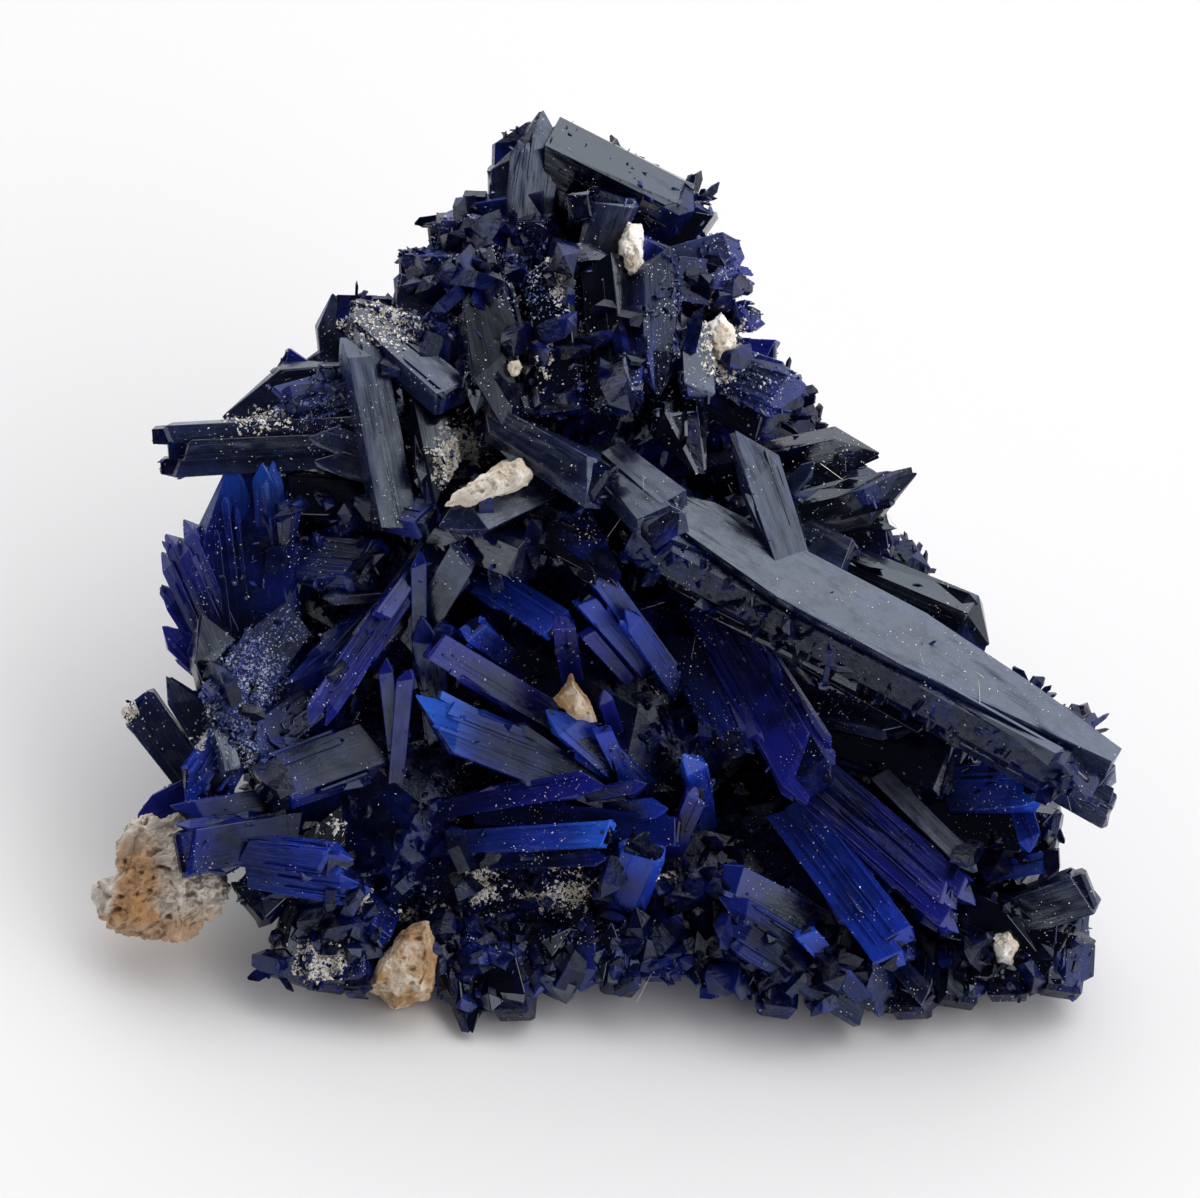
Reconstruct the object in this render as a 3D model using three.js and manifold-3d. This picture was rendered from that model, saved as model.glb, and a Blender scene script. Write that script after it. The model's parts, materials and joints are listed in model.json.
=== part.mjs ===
// Azurite specimen: dark blue bladed crystals grown together in one mound, with pale host rock on it.
// Lengths are in millimetres. The mound rests on a flat base at z = 0 and shows its display face toward -Y.
// Crystals are placed on the display face: u to the right, v up along the leaning face, w out of the face.

import * as THREE from 'three';
import { ConvexGeometry } from 'three/addons/geometries/ConvexGeometry.js';
import { mergeVertices } from 'three/addons/utils/BufferGeometryUtils.js';
import ManifoldModule from 'manifold-3d';

const wasm = await ManifoldModule();
wasm.setup();

// Stance of the display face
const FACE_SLOPE = 35; // degrees between the display face and the floor
const FACE_MIDDLE = new THREE.Vector3(-0.27, -2.06, 15); // where u = v = w = 0 is in the part

// Shared crystal habit
const BEVEL_FROM = 3.0; // crystals at least this wide have bevelled sides, narrower ones plain sides
const EDGE_BEVEL = 0.25; // how far the side bevels cut into the wide face, in thicknesses
const BEVEL_LIMIT = 0.22; // the same, at most this share of the width
const SLICE_OVERLAP = 1.3; // width of one slice of a split crystal, in shares of its even share
const SLICE_STAGGER = 0.55; // how unevenly the slices of a split crystal end, in widths
const STAGGER_STEP = 0.618; // spreads the uneven ends over the slices
const STAGGER_START = 0.1;
const SLICE_RAISE = 0.12; // how far every other slice stands out, in thicknesses
const END_LIMIT = 0.8; // longest end, as a share of the crystal
const ROCK_GAP = 0.3; // clearance between host rock and azurite
const CLEAN_UP = 0.08; // largest move of the surface when needless corners are folded away
const LUMP_CORNERS = 26; // corners of one lump of the mass
const GOLDEN_TURN = Math.PI * (3 - Math.sqrt(5)); // spreads the corners evenly
const SEED = 20; // start of the random series for the core and the back
const ROCK_SEED = 140; // start of the random series for the lump of host rock
const FRONT_ROUGHNESS = 0.12; // how unevenly the corners of a lump stand out, as a share of its radius
const DEEP_ROUGHNESS = 0.1;
const ROCK_ROUGHNESS = 0.14;
const CORNER_STRAY = 0.12; // how far a corner of a lump strays, in turns between corners
const FLOOR_SPAN = 200; // width and length of the block that is cut away under the floor
const FLOOR_DEPTH = 60;

// Looks of the three materials
const AZURITE = { color: 0x141a33, roughness: 0.18 };
const BUFF_ROCK = { color: 0x8d6f55, roughness: 0.95 };
const PALE_ROCK = { color: 0xd9cfc2, roughness: 0.95 };

// Ends of a crystal: length of the end in widths, lean to the left, flat share of the width, thickness share
const ENDS = {
  point: { taper: 0.8, lean: 0, flat: 0.16, thin: 0 },
  left: { taper: 0.95, lean: 0.85, flat: 0.2, thin: 0 },
  right: { taper: 0.95, lean: -0.85, flat: 0.2, thin: 0 },
  cut_left: { taper: 0.42, lean: 0.8, flat: 0.3, thin: 0 },
  cut_right: { taper: 0.42, lean: -0.8, flat: 0.3, thin: 0 },
  square: { taper: 0.14, lean: 0, flat: 0.78, thin: 0.7 },
  round: { taper: 0.42, lean: 0, flat: 0.5, thin: 0 },
};

// Crystals: name, foot, tip, width, thickness, roll of the wide face to the left in degrees, end, slices
const CROWN = [
  ['crown_tablet', [-5.1, 20.0, -1.5], [-4.9, 28.9, -2.4], 3.6, 1.5, 10, 'cut_right', 1],
  ['crown_spike', [-4.6, 21.0, -0.8], [-3.5, 29.5, -1.8], 2.6, 1.4, -20, 'point', 1],
  ['crown_block', [-2.5, 26.1, -3.0], [5.2, 22.1, -3.0], 5.4, 4.5, -22, 'square', 1],
  ['crown_corner', [4.4, 21.0, -2.2], [6.2, 23.8, -2.4], 2.2, 1.9, 15, 'square', 1],
  ['crown_cube', [-1.3, 23.4, -2.0], [-1.2, 23.5, 1.4], 1.7, 1.6, 35, 'square', 1],
  ['crown_shield', [-0.6, 19.8, -0.2], [1.0, 24.4, 0.4], 3.0, 1.3, -10, 'square', 1],
  ['crown_step', [-2.2, 20.3, 0.2], [0.9, 20.9, 1.3], 1.4, 1.2, 30, 'right', 1],
  ['crown_ledge', [1.0, 17.9, 0.6], [4.2, 18.6, 2.2], 2.0, 1.6, 35, 'square', 1],
  ['crown_chip_tablet', [2.6, 19.0, 0.4], [3.6, 21.6, 0.6], 1.8, 1.2, -20, 'square', 1],
  ['lobe_top', [4.4, 20.2, -0.4], [8.7, 21.0, -1.4], 2.3, 1.5, 0, 'round', 1],
  ['lobe_middle', [4.6, 19.2, 0.0], [9.3, 18.6, -1.6], 2.8, 1.6, 5, 'point', 1],
  ['lobe_small', [4.0, 16.6, -2.6], [9.9, 17.0, -1.6], 1.6, 1.2, 0, 'round', 1],
  ['lobe_behind', [4.0, 15.0, -2.8], [10.8, 14.7, -2.0], 1.8, 1.3, 0, 'square', 1],
  ['tongue', [5.4, 14.6, 0.6], [12.2, 11.9, 0.8], 3.2, 1.4, 10, 'round', 1],
  ['tongue_under', [5.0, 13.0, -0.6], [10.2, 10.3, -0.8], 2.2, 1.8, 0, 'square', 1],
  ['shoulder_high', [-3.4, 23.6, -1.4], [-8.2, 23.0, -2.8], 2.0, 1.9, 15, 'square', 1],
  ['shoulder_upper', [-3.6, 22.0, -0.6], [-10.3, 21.8, -2.6], 2.6, 2.2, 20, 'square', 1],
  ['shoulder_middle', [-5.0, 19.6, 0.4], [-12.1, 19.8, -1.8], 2.2, 2.0, 10, 'square', 1],
  ['shoulder_tablet', [-8.0, 17.4, 0.8], [-12.4, 18.4, -0.8], 2.3, 1.5, 0, 'square', 1],
  ['shoulder_hex', [-14.6, 10.0, -3.0], [-14.6, 18.5, -2.2], 5.2, 1.8, 10, 'round', 1],
];

const MOUND = [
  ['prow', [-7.4, 19.4, 1.4], [-5.2, 9.6, 4.8], 4.4, 2.6, 8, 'point', 1],
  ['black_slab', [-3.0, 19.4, 1.8], [-2.2, 10.8, 4.6], 3.6, 2.6, -10, 'square', 1],
  ['mound_block_left', [0.2, 19.4, 1.4], [1.0, 11.2, 4.6], 3.4, 2.8, -15, 'square', 1],
  ['mound_block_right', [3.2, 19.4, 1.4], [3.5, 12.0, 4.2], 3.2, 2.6, 12, 'point', 1],
  ['mound_slat', [5.5, 16.2, 2.4], [5.8, 11.8, 3.8], 1.9, 1.2, 25, 'square', 1],
  ['mound_foot', [4.6, 12.6, 0.6], [4.8, 7.4, 4.6], 3.6, 2.8, 10, 'left', 1],
  ['saddle_prism', [-6.0, 10.4, 3.6], [0.5, 6.5, 6.4], 3.0, 2.4, 8, 'square', 1],
  ['knuckle', [0.2, 8.4, 3.0], [4.1, 3.9, 7.4], 3.2, 2.7, 10, 'square', 1],
  ['knuckle_ridge', [0.8, 8.6, 4.2], [4.7, 5.4, 7.0], 1.7, 1.6, 25, 'square', 1],
  ['chip_bearer', [-3.6, 6.6, 3.0], [-9.7, 4.2, 5.6], 2.6, 1.8, -15, 'point', 1],
  ['overhang_left', [-9.0, 4.2, 1.2], [-4.0, 2.2, 4.4], 3.4, 2.6, -20, 'square', 1],
  ['overhang_right', [-4.4, 5.4, 2.0], [1.8, 2.4, 5.4], 4.0, 3.0, -15, 'right', 1],
  ['pillar', [-12.3, 4.4, 2.6], [-14.7, 16.8, 1.8], 2.2, 1.8, -20, 'left', 2],
  ['pillar_wing', [-14.4, 16.6, 0.8], [-8.6, 11.8, 3.8], 2.3, 2.0, 35, 'square', 1],
  ['roof', [-14.4, 16.6, 0.0], [-8.0, 14.8, 2.2], 2.9, 1.9, -10, 'square', 1],
  ['hollow_post', [-10.6, 13.0, 1.0], [-9.2, 5.6, 3.6], 3.0, 2.0, 15, 'right', 1],
  ['druse_ledge', [-14.2, 5.4, 1.4], [-9.8, 4.6, 3.4], 2.0, 1.6, 40, 'square', 1],
];

const LEFT = [
  ['upper_plate', [-13.6, 12.7, -0.8], [-22.7, 11.9, -1.6], 3.9, 1.8, 0, 'left', 1],
  ['purple_flake', [-15.6, 12.2, -1.4], [-19.3, 14.5, -1.6], 1.6, 1.0, 0, 'square', 1],
  ['left_blade', [-13.6, 9.6, 1.4], [-27.1, 8.9, -0.6], 2.8, 1.8, 8, 'square', 3],
  ['left_druse_block', [-13.6, 12.6, 0.6], [-19.6, 10.7, 1.0], 3.6, 2.2, 15, 'point', 1],
  ['small_comb', [-13.4, 8.2, 1.8], [-17.8, 9.5, 2.0], 2.4, 1.0, 10, 'left', 2],
  ['fan_blade', [-20.6, -2.6, -0.6], [-21.9, 8.6, 0.8], 5.8, 1.8, 12, 'point', 1],
  ['hollow_tablet', [-13.2, 6.0, -0.4], [-19.4, 6.2, 0.4], 3.2, 1.6, 0, 'square', 1],
  ['comb_upper', [-22.6, -2.4, -1.0], [-25.8, 4.7, -0.6], 2.8, 1.4, 25, 'left', 4],
  ['comb_lower', [-22.6, -3.8, -1.4], [-26.2, 2.0, -1.4], 1.9, 1.2, 10, 'left', 2],
  ['comb_third', [-22.4, -5.6, -1.0], [-26.3, -1.5, -1.4], 1.6, 1.1, 0, 'point', 1],
  ['left_dark_block', [-22.0, -8.0, -0.6], [-24.0, -0.8, 0.6], 2.7, 2.1, -20, 'point', 1],
  ['druse_panel', [-18.6, -1.6, 0.0], [-22.8, -7.4, 1.2], 3.6, 2.2, 10, 'square', 1],
  ['outer_plate', [-23.4, -12.2, -1.8], [-28.1, -5.9, -1.8], 2.4, 1.3, 10, 'square', 1],
  ['inner_plate', [-22.8, -9.8, -1.2], [-25.9, -4.5, -1.2], 1.8, 1.1, 0, 'point', 1],
  ['blue_fan', [-21.6, -7.8, -0.2], [-24.9, -12.7, 0.6], 2.8, 1.5, 10, 'left', 2],
  ['step_prism', [-23.0, -7.2, 0.6], [-22.0, -10.6, 1.8], 1.1, 1.0, 20, 'square', 1],
  ['outer_flake', [-22.6, -10.6, -1.8], [-28.0, -13.2, -1.4], 1.7, 1.0, 0, 'point', 1],
  ['lump_cover', [-18.6, -14.0, 0.6], [-25.5, -15.3, 2.6], 3.2, 1.2, 0, 'square', 1],
  ['lump_cover_upper', [-19.4, -12.0, 0.0], [-25.8, -13.0, 2.0], 1.5, 0.9, 0, 'right', 1],
  ['blue_cushion', [-20.8, -15.6, 1.2], [-13.4, -16.7, 2.6], 3.0, 1.9, -15, 'point', 2],
  ['corner_tablet', [-16.6, -15.0, -1.4], [-18.7, -23.1, 0.0], 3.4, 2.0, 20, 'square', 1],
  ['corner_dark', [-16.0, -14.0, -1.6], [-21.3, -18.6, 0.2], 3.4, 2.2, 0, 'square', 1],
  ['left_gap_block', [-16.4, -5.4, -1.6], [-22.0, -9.6, 0.8], 3.4, 2.4, 10, 'square', 1],
  ['middle_block', [-19.0, 2.6, -0.8], [-13.2, 1.9, 1.8], 3.6, 2.2, 20, 'square', 1],
  ['middle_glint', [-12.6, 0.4, 1.0], [-16.8, 0.1, 1.8], 1.0, 0.7, -50, 'point', 1],
  ['middle_lower', [-12.4, -0.6, -0.4], [-18.2, -6.4, 1.6], 3.6, 2.2, 10, 'right', 1],
  ['middle_low_block', [-14.0, -9.0, -1.0], [-20.4, -11.4, 1.4], 3.8, 2.2, -10, 'square', 1],
];

const CENTRE = [
  ['long_lath', [-9.8, 3.6, 0.8], [-17.4, -7.7, 3.8], 1.5, 0.7, 5, 'left', 2],
  ['lath_mate', [-9.8, 3.6, 0.6], [-13.2, -1.2, 3.6], 1.0, 0.6, 10, 'square', 1],
  ['star_upright', [-10.8, -5.0, -0.6], [-10.9, 3.0, 3.4], 0.9, 0.6, 0, 'point', 1],
  ['star_grey', [-11.2, -2.6, -0.4], [-7.9, 3.0, 4.0], 1.8, 0.7, 10, 'square', 1],
  ['finger_left', [-12.0, -12.0, -1.6], [-12.9, -3.5, 2.4], 0.9, 0.7, 0, 'point', 1],
  ['finger_right', [-12.4, -12.4, -1.2], [-11.6, -4.1, 3.0], 1.0, 0.7, 0, 'round', 1],
  ['finger_broad', [-9.6, -9.0, -1.8], [-10.6, -1.0, 1.8], 1.7, 1.0, 0, 'point', 1],
  ['cloud_blade', [-9.0, 2.6, -0.8], [-2.2, -1.8, 2.6], 2.0, 1.1, 10, 'square', 1],
  ['cloud_stub', [-6.0, -0.6, -0.4], [-6.4, 2.1, 3.2], 0.9, 0.7, 0, 'square', 1],
  ['cloud_tip', [-1.6, -5.4, -0.8], [-2.3, -0.9, 3.0], 1.4, 0.9, 0, 'round', 1],
  ['parallel_first', [4.2, -4.4, -0.4], [-1.3, 3.0, 4.2], 1.3, 0.9, -10, 'round', 1],
  ['parallel_second', [2.8, -4.4, -0.6], [-1.2, 0.2, 3.6], 1.2, 0.8, -10, 'square', 1],
  ['parallel_third', [2.2, -5.4, -0.8], [-0.9, -1.9, 3.0], 0.9, 0.7, -5, 'square', 1],
  ['parallel_fourth', [4.6, -5.4, -0.6], [1.4, -0.6, 3.6], 1.2, 0.8, -10, 'point', 1],
  ['finger_long', [-1.8, -7.8, -1.2], [-10.2, -2.6, 3.0], 1.8, 1.0, -8, 'square', 1],
  ['knob_blue', [-5.4, -3.6, -1.2], [-8.2, -1.4, 2.4], 1.5, 1.2, 0, 'round', 1],
  ['knob_dark', [-7.0, -3.4, -1.2], [-9.7, -1.7, 2.0], 1.1, 1.0, 0, 'round', 1],
  ['left_pointer', [1.4, -11.8, -1.0], [-11.4, -6.8, 3.0], 2.9, 1.1, -8, 'right', 1],
  ['chip_blade', [2.2, -11.2, -0.8], [-3.2, -6.4, 3.0], 1.9, 1.1, -12, 'point', 1],
  ['chip_blade_mate', [1.8, -11.4, -0.2], [0.0, -7.6, 2.8], 1.1, 0.8, 0, 'square', 1],
  ['chip_sliver', [1.2, -8.8, -1.0], [0.1, -5.4, 2.8], 0.9, 0.7, 0, 'point', 1],
  ['shelf_upper', [-9.6, -12.6, -1.0], [0.3, -10.8, 2.6], 1.4, 0.8, 5, 'right', 1],
  ['shelf_small', [-2.0, -12.0, -0.8], [2.9, -11.1, 2.4], 0.9, 0.7, 0, 'point', 1],
  ['shelf_wedge', [0.0, -12.9, -0.8], [4.1, -12.5, 2.6], 1.3, 1.0, 0, 'point', 1],
  ['shelf_shadow', [-7.4, -12.6, -0.6], [5.0, -14.0, 1.8], 1.7, 1.0, 0, 'square', 1],
  ['shelf_bright', [-8.6, -14.6, -0.4], [0.9, -14.0, 3.6], 1.5, 0.8, 10, 'square', 1],
  ['shelf_low', [-7.6, -15.8, -0.8], [0.6, -15.4, 2.8], 1.1, 0.7, 0, 'point', 1],
  ['hook_upper', [6.4, -13.6, -1.6], [5.4, -9.0, 3.0], 1.4, 1.0, -15, 'left', 1],
  ['hook_lower', [3.8, -16.4, -1.6], [6.0, -11.2, 2.6], 1.3, 1.0, -15, 'round', 1],
  ['blue_chunk', [1.0, -19.0, -0.8], [2.8, -14.6, 3.4], 3.0, 1.7, 10, 'square', 1],
  ['recess_plate', [5.2, -3.0, -1.0], [8.6, -9.6, 1.4], 3.2, 1.6, 0, 'round', 1],
];

const RIGHT = [
  ['great_blade', [2.4, 4.7, 2.6], [30.4, -10.6, 5.4], 5.8, 3.4, 35, 'cut_right', 1],
  ['great_keel', [4.6, 1.6, 1.8], [25.0, -8.8, 4.0], 3.0, 2.6, -10, 'point', 1],
  ['great_blade_tail', [20.0, -6.2, 3.2], [31.2, -12.3, 4.4], 2.6, 2.4, 20, 'square', 2],
  ['upright_blade', [11.6, 1.4, 3.6], [8.5, 10.4, 4.4], 2.5, 1.3, -25, 'left', 1],
  ['beam', [5.6, 7.2, -1.4], [16.7, 9.3, 1.2], 2.4, 2.0, -25, 'right', 1],
  ['beam_under', [10.4, 7.2, 0.2], [16.6, 7.7, 0.4], 1.2, 1.0, 0, 'point', 1],
  ['right_prow', [9.4, 4.2, 1.6], [19.2, 6.7, 2.0], 3.4, 2.3, -15, 'left', 1],
  ['leaf', [10.6, 6.0, 2.4], [12.9, 8.2, 3.8], 0.9, 0.6, 15, 'point', 1],
  ['fin', [12.0, 2.6, 0.6], [17.6, 4.4, 0.6], 2.3, 1.2, 0, 'square', 1],
  ['grey_slab', [9.8, 5.0, 1.6], [15.2, 2.4, 3.0], 2.0, 1.5, 10, 'square', 1],
  ['rail', [10.6, 3.2, 0.6], [23.6, -2.2, 2.8], 3.8, 2.6, -20, 'cut_right', 1],
  ['violet_blade', [6.4, 0.4, -0.8], [13.3, -11.7, 3.2], 3.8, 1.6, -15, 'round', 1],
  ['cave_wedge', [11.6, -6.2, 0.2], [19.7, -8.0, 1.8], 1.9, 1.1, 30, 'left', 1],
  ['cave_back', [12.0, -7.4, -0.6], [21.6, -10.4, 0.6], 4.4, 1.8, 10, 'square', 1],
  ['sheaf', [11.6, -9.8, 0.8], [22.4, -19.4, 3.0], 3.0, 1.7, 8, 'point', 3],
  ['sheaf_light', [16.8, -10.6, 1.2], [22.6, -16.5, 3.2], 1.2, 0.8, 15, 'point', 1],
  ['blue_sheaf', [11.4, -12.6, 1.0], [18.6, -22.0, 2.8], 2.7, 1.5, -5, 'round', 2],
  ['cobalt_chunk', [21.4, -11.4, 0.4], [26.9, -11.2, 2.8], 2.9, 1.8, 10, 'round', 1],
  ['cobalt_drop', [24.8, -11.0, 0.4], [26.0, -15.1, 2.4], 1.4, 1.1, 0, 'round', 1],
  ['right_dark_block', [19.0, -13.0, -0.6], [27.7, -14.4, 0.4], 4.2, 2.6, 5, 'square', 1],
  ['cobalt_dab', [23.6, -16.4, 0.0], [27.4, -15.6, 1.8], 1.3, 1.0, 0, 'round', 1],
  ['grey_tablet', [24.6, -19.0, 0.0], [29.7, -17.2, 0.9], 2.7, 1.5, -15, 'square', 1],
  ['corner_round', [23.4, -21.4, -0.4], [29.9, -21.7, 0.2], 4.2, 2.4, 5, 'round', 1],
  ['lower_dark', [19.6, -17.6, -0.6], [26.2, -21.4, 1.4], 4.2, 2.4, 0, 'point', 1],
  ['bottom_blade', [15.8, -24.2, 0.6], [6.6, -18.4, 2.8], 2.8, 1.3, -10, 'point', 2],
  ['bottom_dark', [14.0, -20.0, -1.4], [7.2, -16.4, 2.6], 1.9, 1.3, -5, 'round', 1],
  ['bottom_bright', [15.6, -23.8, 1.2], [12.0, -19.7, 3.2], 1.2, 0.8, 0, 'square', 1],
  ['pale_lath', [15.8, -19.6, -0.8], [19.9, -24.2, 2.0], 1.2, 0.9, 0, 'square', 1],
];

// Fringe along the bottom edge: middle of each crystal across, its lowest point, width and end
const FRINGE = [
  [-16.4, -23.6, 2.8, 'square'],
  [-14.6, -23.9, 1.8, 'square'],
  [-8.1, -26.2, 4.0, 'point'],
  [-5.2, -25.3, 2.6, 'square'],
  [-3.0, -24.2, 2.4, 'cut_left'],
  [-0.9, -23.6, 2.2, 'cut_right'],
  [1.2, -23.8, 2.4, 'square'],
  [3.7, -22.9, 3.0, 'square'],
  [6.6, -24.1, 2.4, 'point'],
  [8.4, -24.1, 1.8, 'point'],
  [10.6, -25.1, 2.4, 'square'],
  [13.4, -24.6, 3.0, 'square'],
  [16.4, -25.0, 2.6, 'cut_left'],
  [18.6, -25.2, 2.6, 'square'],
  [21.4, -24.5, 3.0, 'square'],
  [24.4, -24.1, 3.0, 'square'],
  [27.6, -23.9, 3.2, 'square'],
];
const FRINGE_LENGTH = 6.4;
const FRINGE_THICKNESS = 2.0;
const FRINGE_FOOT = -1.8; // depth of the feet behind the face
const FRINGE_TIP = 0.7; // height of the tips before the face
const FRINGE_ROLL = 14; // degrees, to the left and to the right in turn
const FRINGE_SHIFT = 0.4; // how far the feet stand to the right of the tips

// Mass that the crystals grew from: middle and radii on the display face
const FACE_LUMPS = [
  [[0.0, 13.4, -4.8], [8.6, 9.6, 7.4]],
  [[-14.0, 4.5, -5.5], [9.0, 8.0, 6.2]],
  [[9.5, 2.5, -5.0], [8.0, 7.0, 7.2]],
  [[-2.0, -6.0, -6.0], [16.0, 11.0, 7.2]],
  [[-13.0, -12.0, -5.0], [9.0, 8.5, 5.8]],
  [[16.0, -15.0, -5.0], [12.8, 8.8, 6.2]],
  [[0.0, -17.4, -4.4], [19.5, 6.8, 5.4]],
];

// Deep mass behind the face, down to the floor: middle and radii in the part
const DEEP_LUMPS = [
  [[0.0, 1.0, 4.0], [20.0, 14.0, 9.5]],
  [[-1.0, 10.0, 11.0], [9.5, 8.0, 13.0]],
  [[-11.0, 4.5, 6.0], [10.0, 9.0, 8.0]],
  [[9.0, 3.5, 6.0], [9.5, 9.0, 8.0]],
];

// Rings of crystals round the back: height, radius to the right, to the left and deep, middle in Y,
// number of crystals, lean up
const BACK_RINGS = [
  [3.4, 17.0, 19.0, 13.5, 2.0, 12, 0.05],
  [8.6, 14.0, 18.0, 13.0, 2.6, 11, 0.2],
  [13.8, 10.0, 15.0, 10.8, 5.0, 10, 0.35],
  [19.0, 6.5, 10.5, 10.2, 8.2, 8, 0.45],
  [24.0, 4.2, 6.8, 7.4, 12.0, 6, 0.6],
];
const BACK_FROM = 2; // degrees, where a ring starts on the right side
const BACK_TO = 192; // degrees, where it ends on the left side
const BACK_REACH = [2.4, 4.8]; // how far the crystals stand out of a ring
const BACK_WIDTH = [4.0, 6.4];
const BACK_THICKNESS = [2.2, 3.4];
const BACK_ROOT = 6; // how deep the feet are in the mass
const BACK_STRAY = [0.2, 0.8]; // where a crystal stands in its share of the ring
const BACK_HEIGHT_STRAY = 1.2;
const BACK_LEAN_STRAY = [0.4, 0.3, 0.3]; // how far the growth strays in X, Y and Z

// Host rock: outline on the display face, depth at the back, height at the front,
// share of the outline at the front
const ROCKS = {
  matrix_chip_saddle: [
    [[-9.4, 5.5], [-8.5, 6.6], [-5.8, 8.2], [-4.7, 8.4], [-3.9, 7.5], [-4.2, 6.7], [-6.2, 6.6], [-8.2, 5.4]],
    4.2, 6.9, 0.72,
  ],
  matrix_chip_crown: [
    [[1.0, 19.4], [1.1, 21.4], [1.7, 22.7], [2.5, 22.5], [2.8, 20.6], [2.3, 18.9], [1.5, 18.8]],
    0.2, 2.4, 0.62,
  ],
  matrix_crust_right: [
    [[6.0, 14.9], [6.3, 16.5], [7.3, 17.3], [8.2, 16.1], [8.1, 14.8], [7.2, 14.1]],
    0.3, 2.4, 0.6,
  ],
  matrix_bead: [
    [[-5.8, 13.7], [-5.5, 14.4], [-4.8, 14.5], [-4.4, 13.9], [-4.7, 13.2], [-5.4, 13.1]],
    3.0, 5.2, 0.6,
  ],
  matrix_chip_hollow: [
    [[-2.9, -5.9], [-1.7, -4.4], [-0.8, -5.8], [-0.1, -7.4], [-1.3, -7.2], [-2.5, -6.6]],
    1.6, 4.0, 0.7,
  ],
  matrix_patch_hem: [
    [
      [-14.2, -23.4], [-13.2, -21.4], [-11.6, -19.6], [-10.2, -19.2], [-9.6, -21.8], [-10.2, -24.0],
      [-12.3, -24.7],
    ],
    -0.9, 1.9, 0.72,
  ],
  matrix_chip_tail: [
    [[23.3, -20.2], [23.9, -21.8], [24.7, -22.0], [25.3, -20.8], [24.5, -19.9]],
    0.6, 2.9, 0.62,
  ],
};

const CHIP_STRAY = 0.25; // how unevenly the front corners of a chip stand out

// Lump of host rock at the lower left: middle and radii of its knobs on the display face
const LUMP_KNOBS = [
  [[-25.9, -16.4, -1.2], [4.0, 4.1, 3.0]],
  [[-28.0, -18.2, -1.4], [2.8, 2.6, 2.4]],
  [[-25.8, -19.0, -1.2], [2.4, 2.2, 2.2]],
  [[-24.0, -17.4, -1.0], [2.4, 2.2, 2.4]],
  [[-27.0, -14.4, -1.0], [2.2, 2.0, 2.0]],
];

let randomState = SEED;

// Gives the next number of one fixed random series, between low and high.
function between(low, high) {
  randomState += 1;
  return low + (high - low) * THREE.MathUtils.seededRandom(randomState);
}

// Turns a place on the display face into a point of the part.
function onFace([u, v, w]) {
  const point = new THREE.Vector3(u, v, w);
  point.applyAxisAngle(new THREE.Vector3(1, 0, 0), THREE.MathUtils.degToRad(FACE_SLOPE));
  return point.add(FACE_MIDDLE);
}

const FACE_NORMAL = onFace([0, 0, 1]).sub(FACE_MIDDLE);

// Makes a solid for joining and cutting from a closed geometry.
function solidFrom(geometry) {
  geometry.deleteAttribute('normal');
  geometry.deleteAttribute('uv');
  const merged = mergeVertices(geometry, 1e-5);
  return new wasm.Manifold(new wasm.Mesh({
    numProp: 3,
    vertProperties: new Float32Array(merged.attributes.position.array),
    triVerts: new Uint32Array(merged.index.array),
  }));
}

// Makes the convex solid round a set of points.
function hull(points) {
  return solidFrom(new ConvexGeometry(points));
}

// Finds a crystal's own directions: along it, out of its wide face, and to its left.
function directions(foot, tip, roll) {
  const along = tip.clone().sub(foot).normalize();
  const out = FACE_NORMAL.clone().addScaledVector(along, -FACE_NORMAL.dot(along)).normalize();
  out.applyAxisAngle(along, -THREE.MathUtils.degToRad(roll));
  const left = out.clone().cross(along);
  return { along, out, left };
}

// Builds one bevelled blade from its foot to its tip.
function blade(foot, tip, width, thickness, { along, out, left }, end) {
  const bevelled = width >= BEVEL_FROM;
  const bevel = bevelled ? Math.min(EDGE_BEVEL * thickness, BEVEL_LIMIT * width) : 0;
  const shape = ENDS[end];
  const endLength = Math.min(shape.taper * width, END_LIMIT * foot.distanceTo(tip));
  const shoulder = tip.clone().addScaledVector(along, -endLength);
  const points = [];
  const put = (middle, aside, raise) => {
    points.push(middle.clone().addScaledVector(left, aside).addScaledVector(out, raise));
  };
  for (const side of [-1, 1]) {
    for (const middle of [foot, shoulder]) {
      put(middle, side * (width / 2 - bevel), thickness / 2);
      put(middle, side * (width / 2 - bevel), -thickness / 2);
      if (bevelled) put(middle, side * width / 2, 0);
    }
    const aside = (shape.lean * (1 - shape.flat) + side * shape.flat) * width / 2;
    put(tip, aside, shape.thin * thickness / 2);
    if (shape.thin > 0) put(tip, aside, -shape.thin * thickness / 2);
  }
  return hull(points);
}

// Builds a crystal, sliced lengthways into uneven blades where it grew split.
function crystal(foot, tip, width, thickness, roll, end, slices) {
  const ways = directions(foot, tip, roll);
  const sliceWidth = slices > 1 ? SLICE_OVERLAP * width / slices : width;
  const blades = [];
  for (let i = 0; i < slices; i += 1) {
    const aside = (i + 0.5) / slices - 0.5;
    const short = slices > 1 ? SLICE_STAGGER * width * ((i * STAGGER_STEP + STAGGER_START) % 1) : 0;
    const raise = slices > 1 ? SLICE_RAISE * thickness * (i % 2) : 0;
    const sliceFoot = foot.clone().addScaledVector(ways.left, aside * width);
    const sliceTip = tip.clone().addScaledVector(ways.left, aside * width);
    sliceTip.addScaledVector(ways.along, -short);
    sliceFoot.addScaledVector(ways.out, raise);
    sliceTip.addScaledVector(ways.out, raise);
    blades.push(blade(sliceFoot, sliceTip, sliceWidth, thickness, ways, end));
  }
  return blades;
}

// Builds every crystal of one zone of the display face.
function zone(rows) {
  return rows.flatMap(([, foot, tip, width, thickness, roll, end, slices]) => (
    crystal(onFace(foot), onFace(tip), width, thickness, roll, end, slices)
  ));
}

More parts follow.
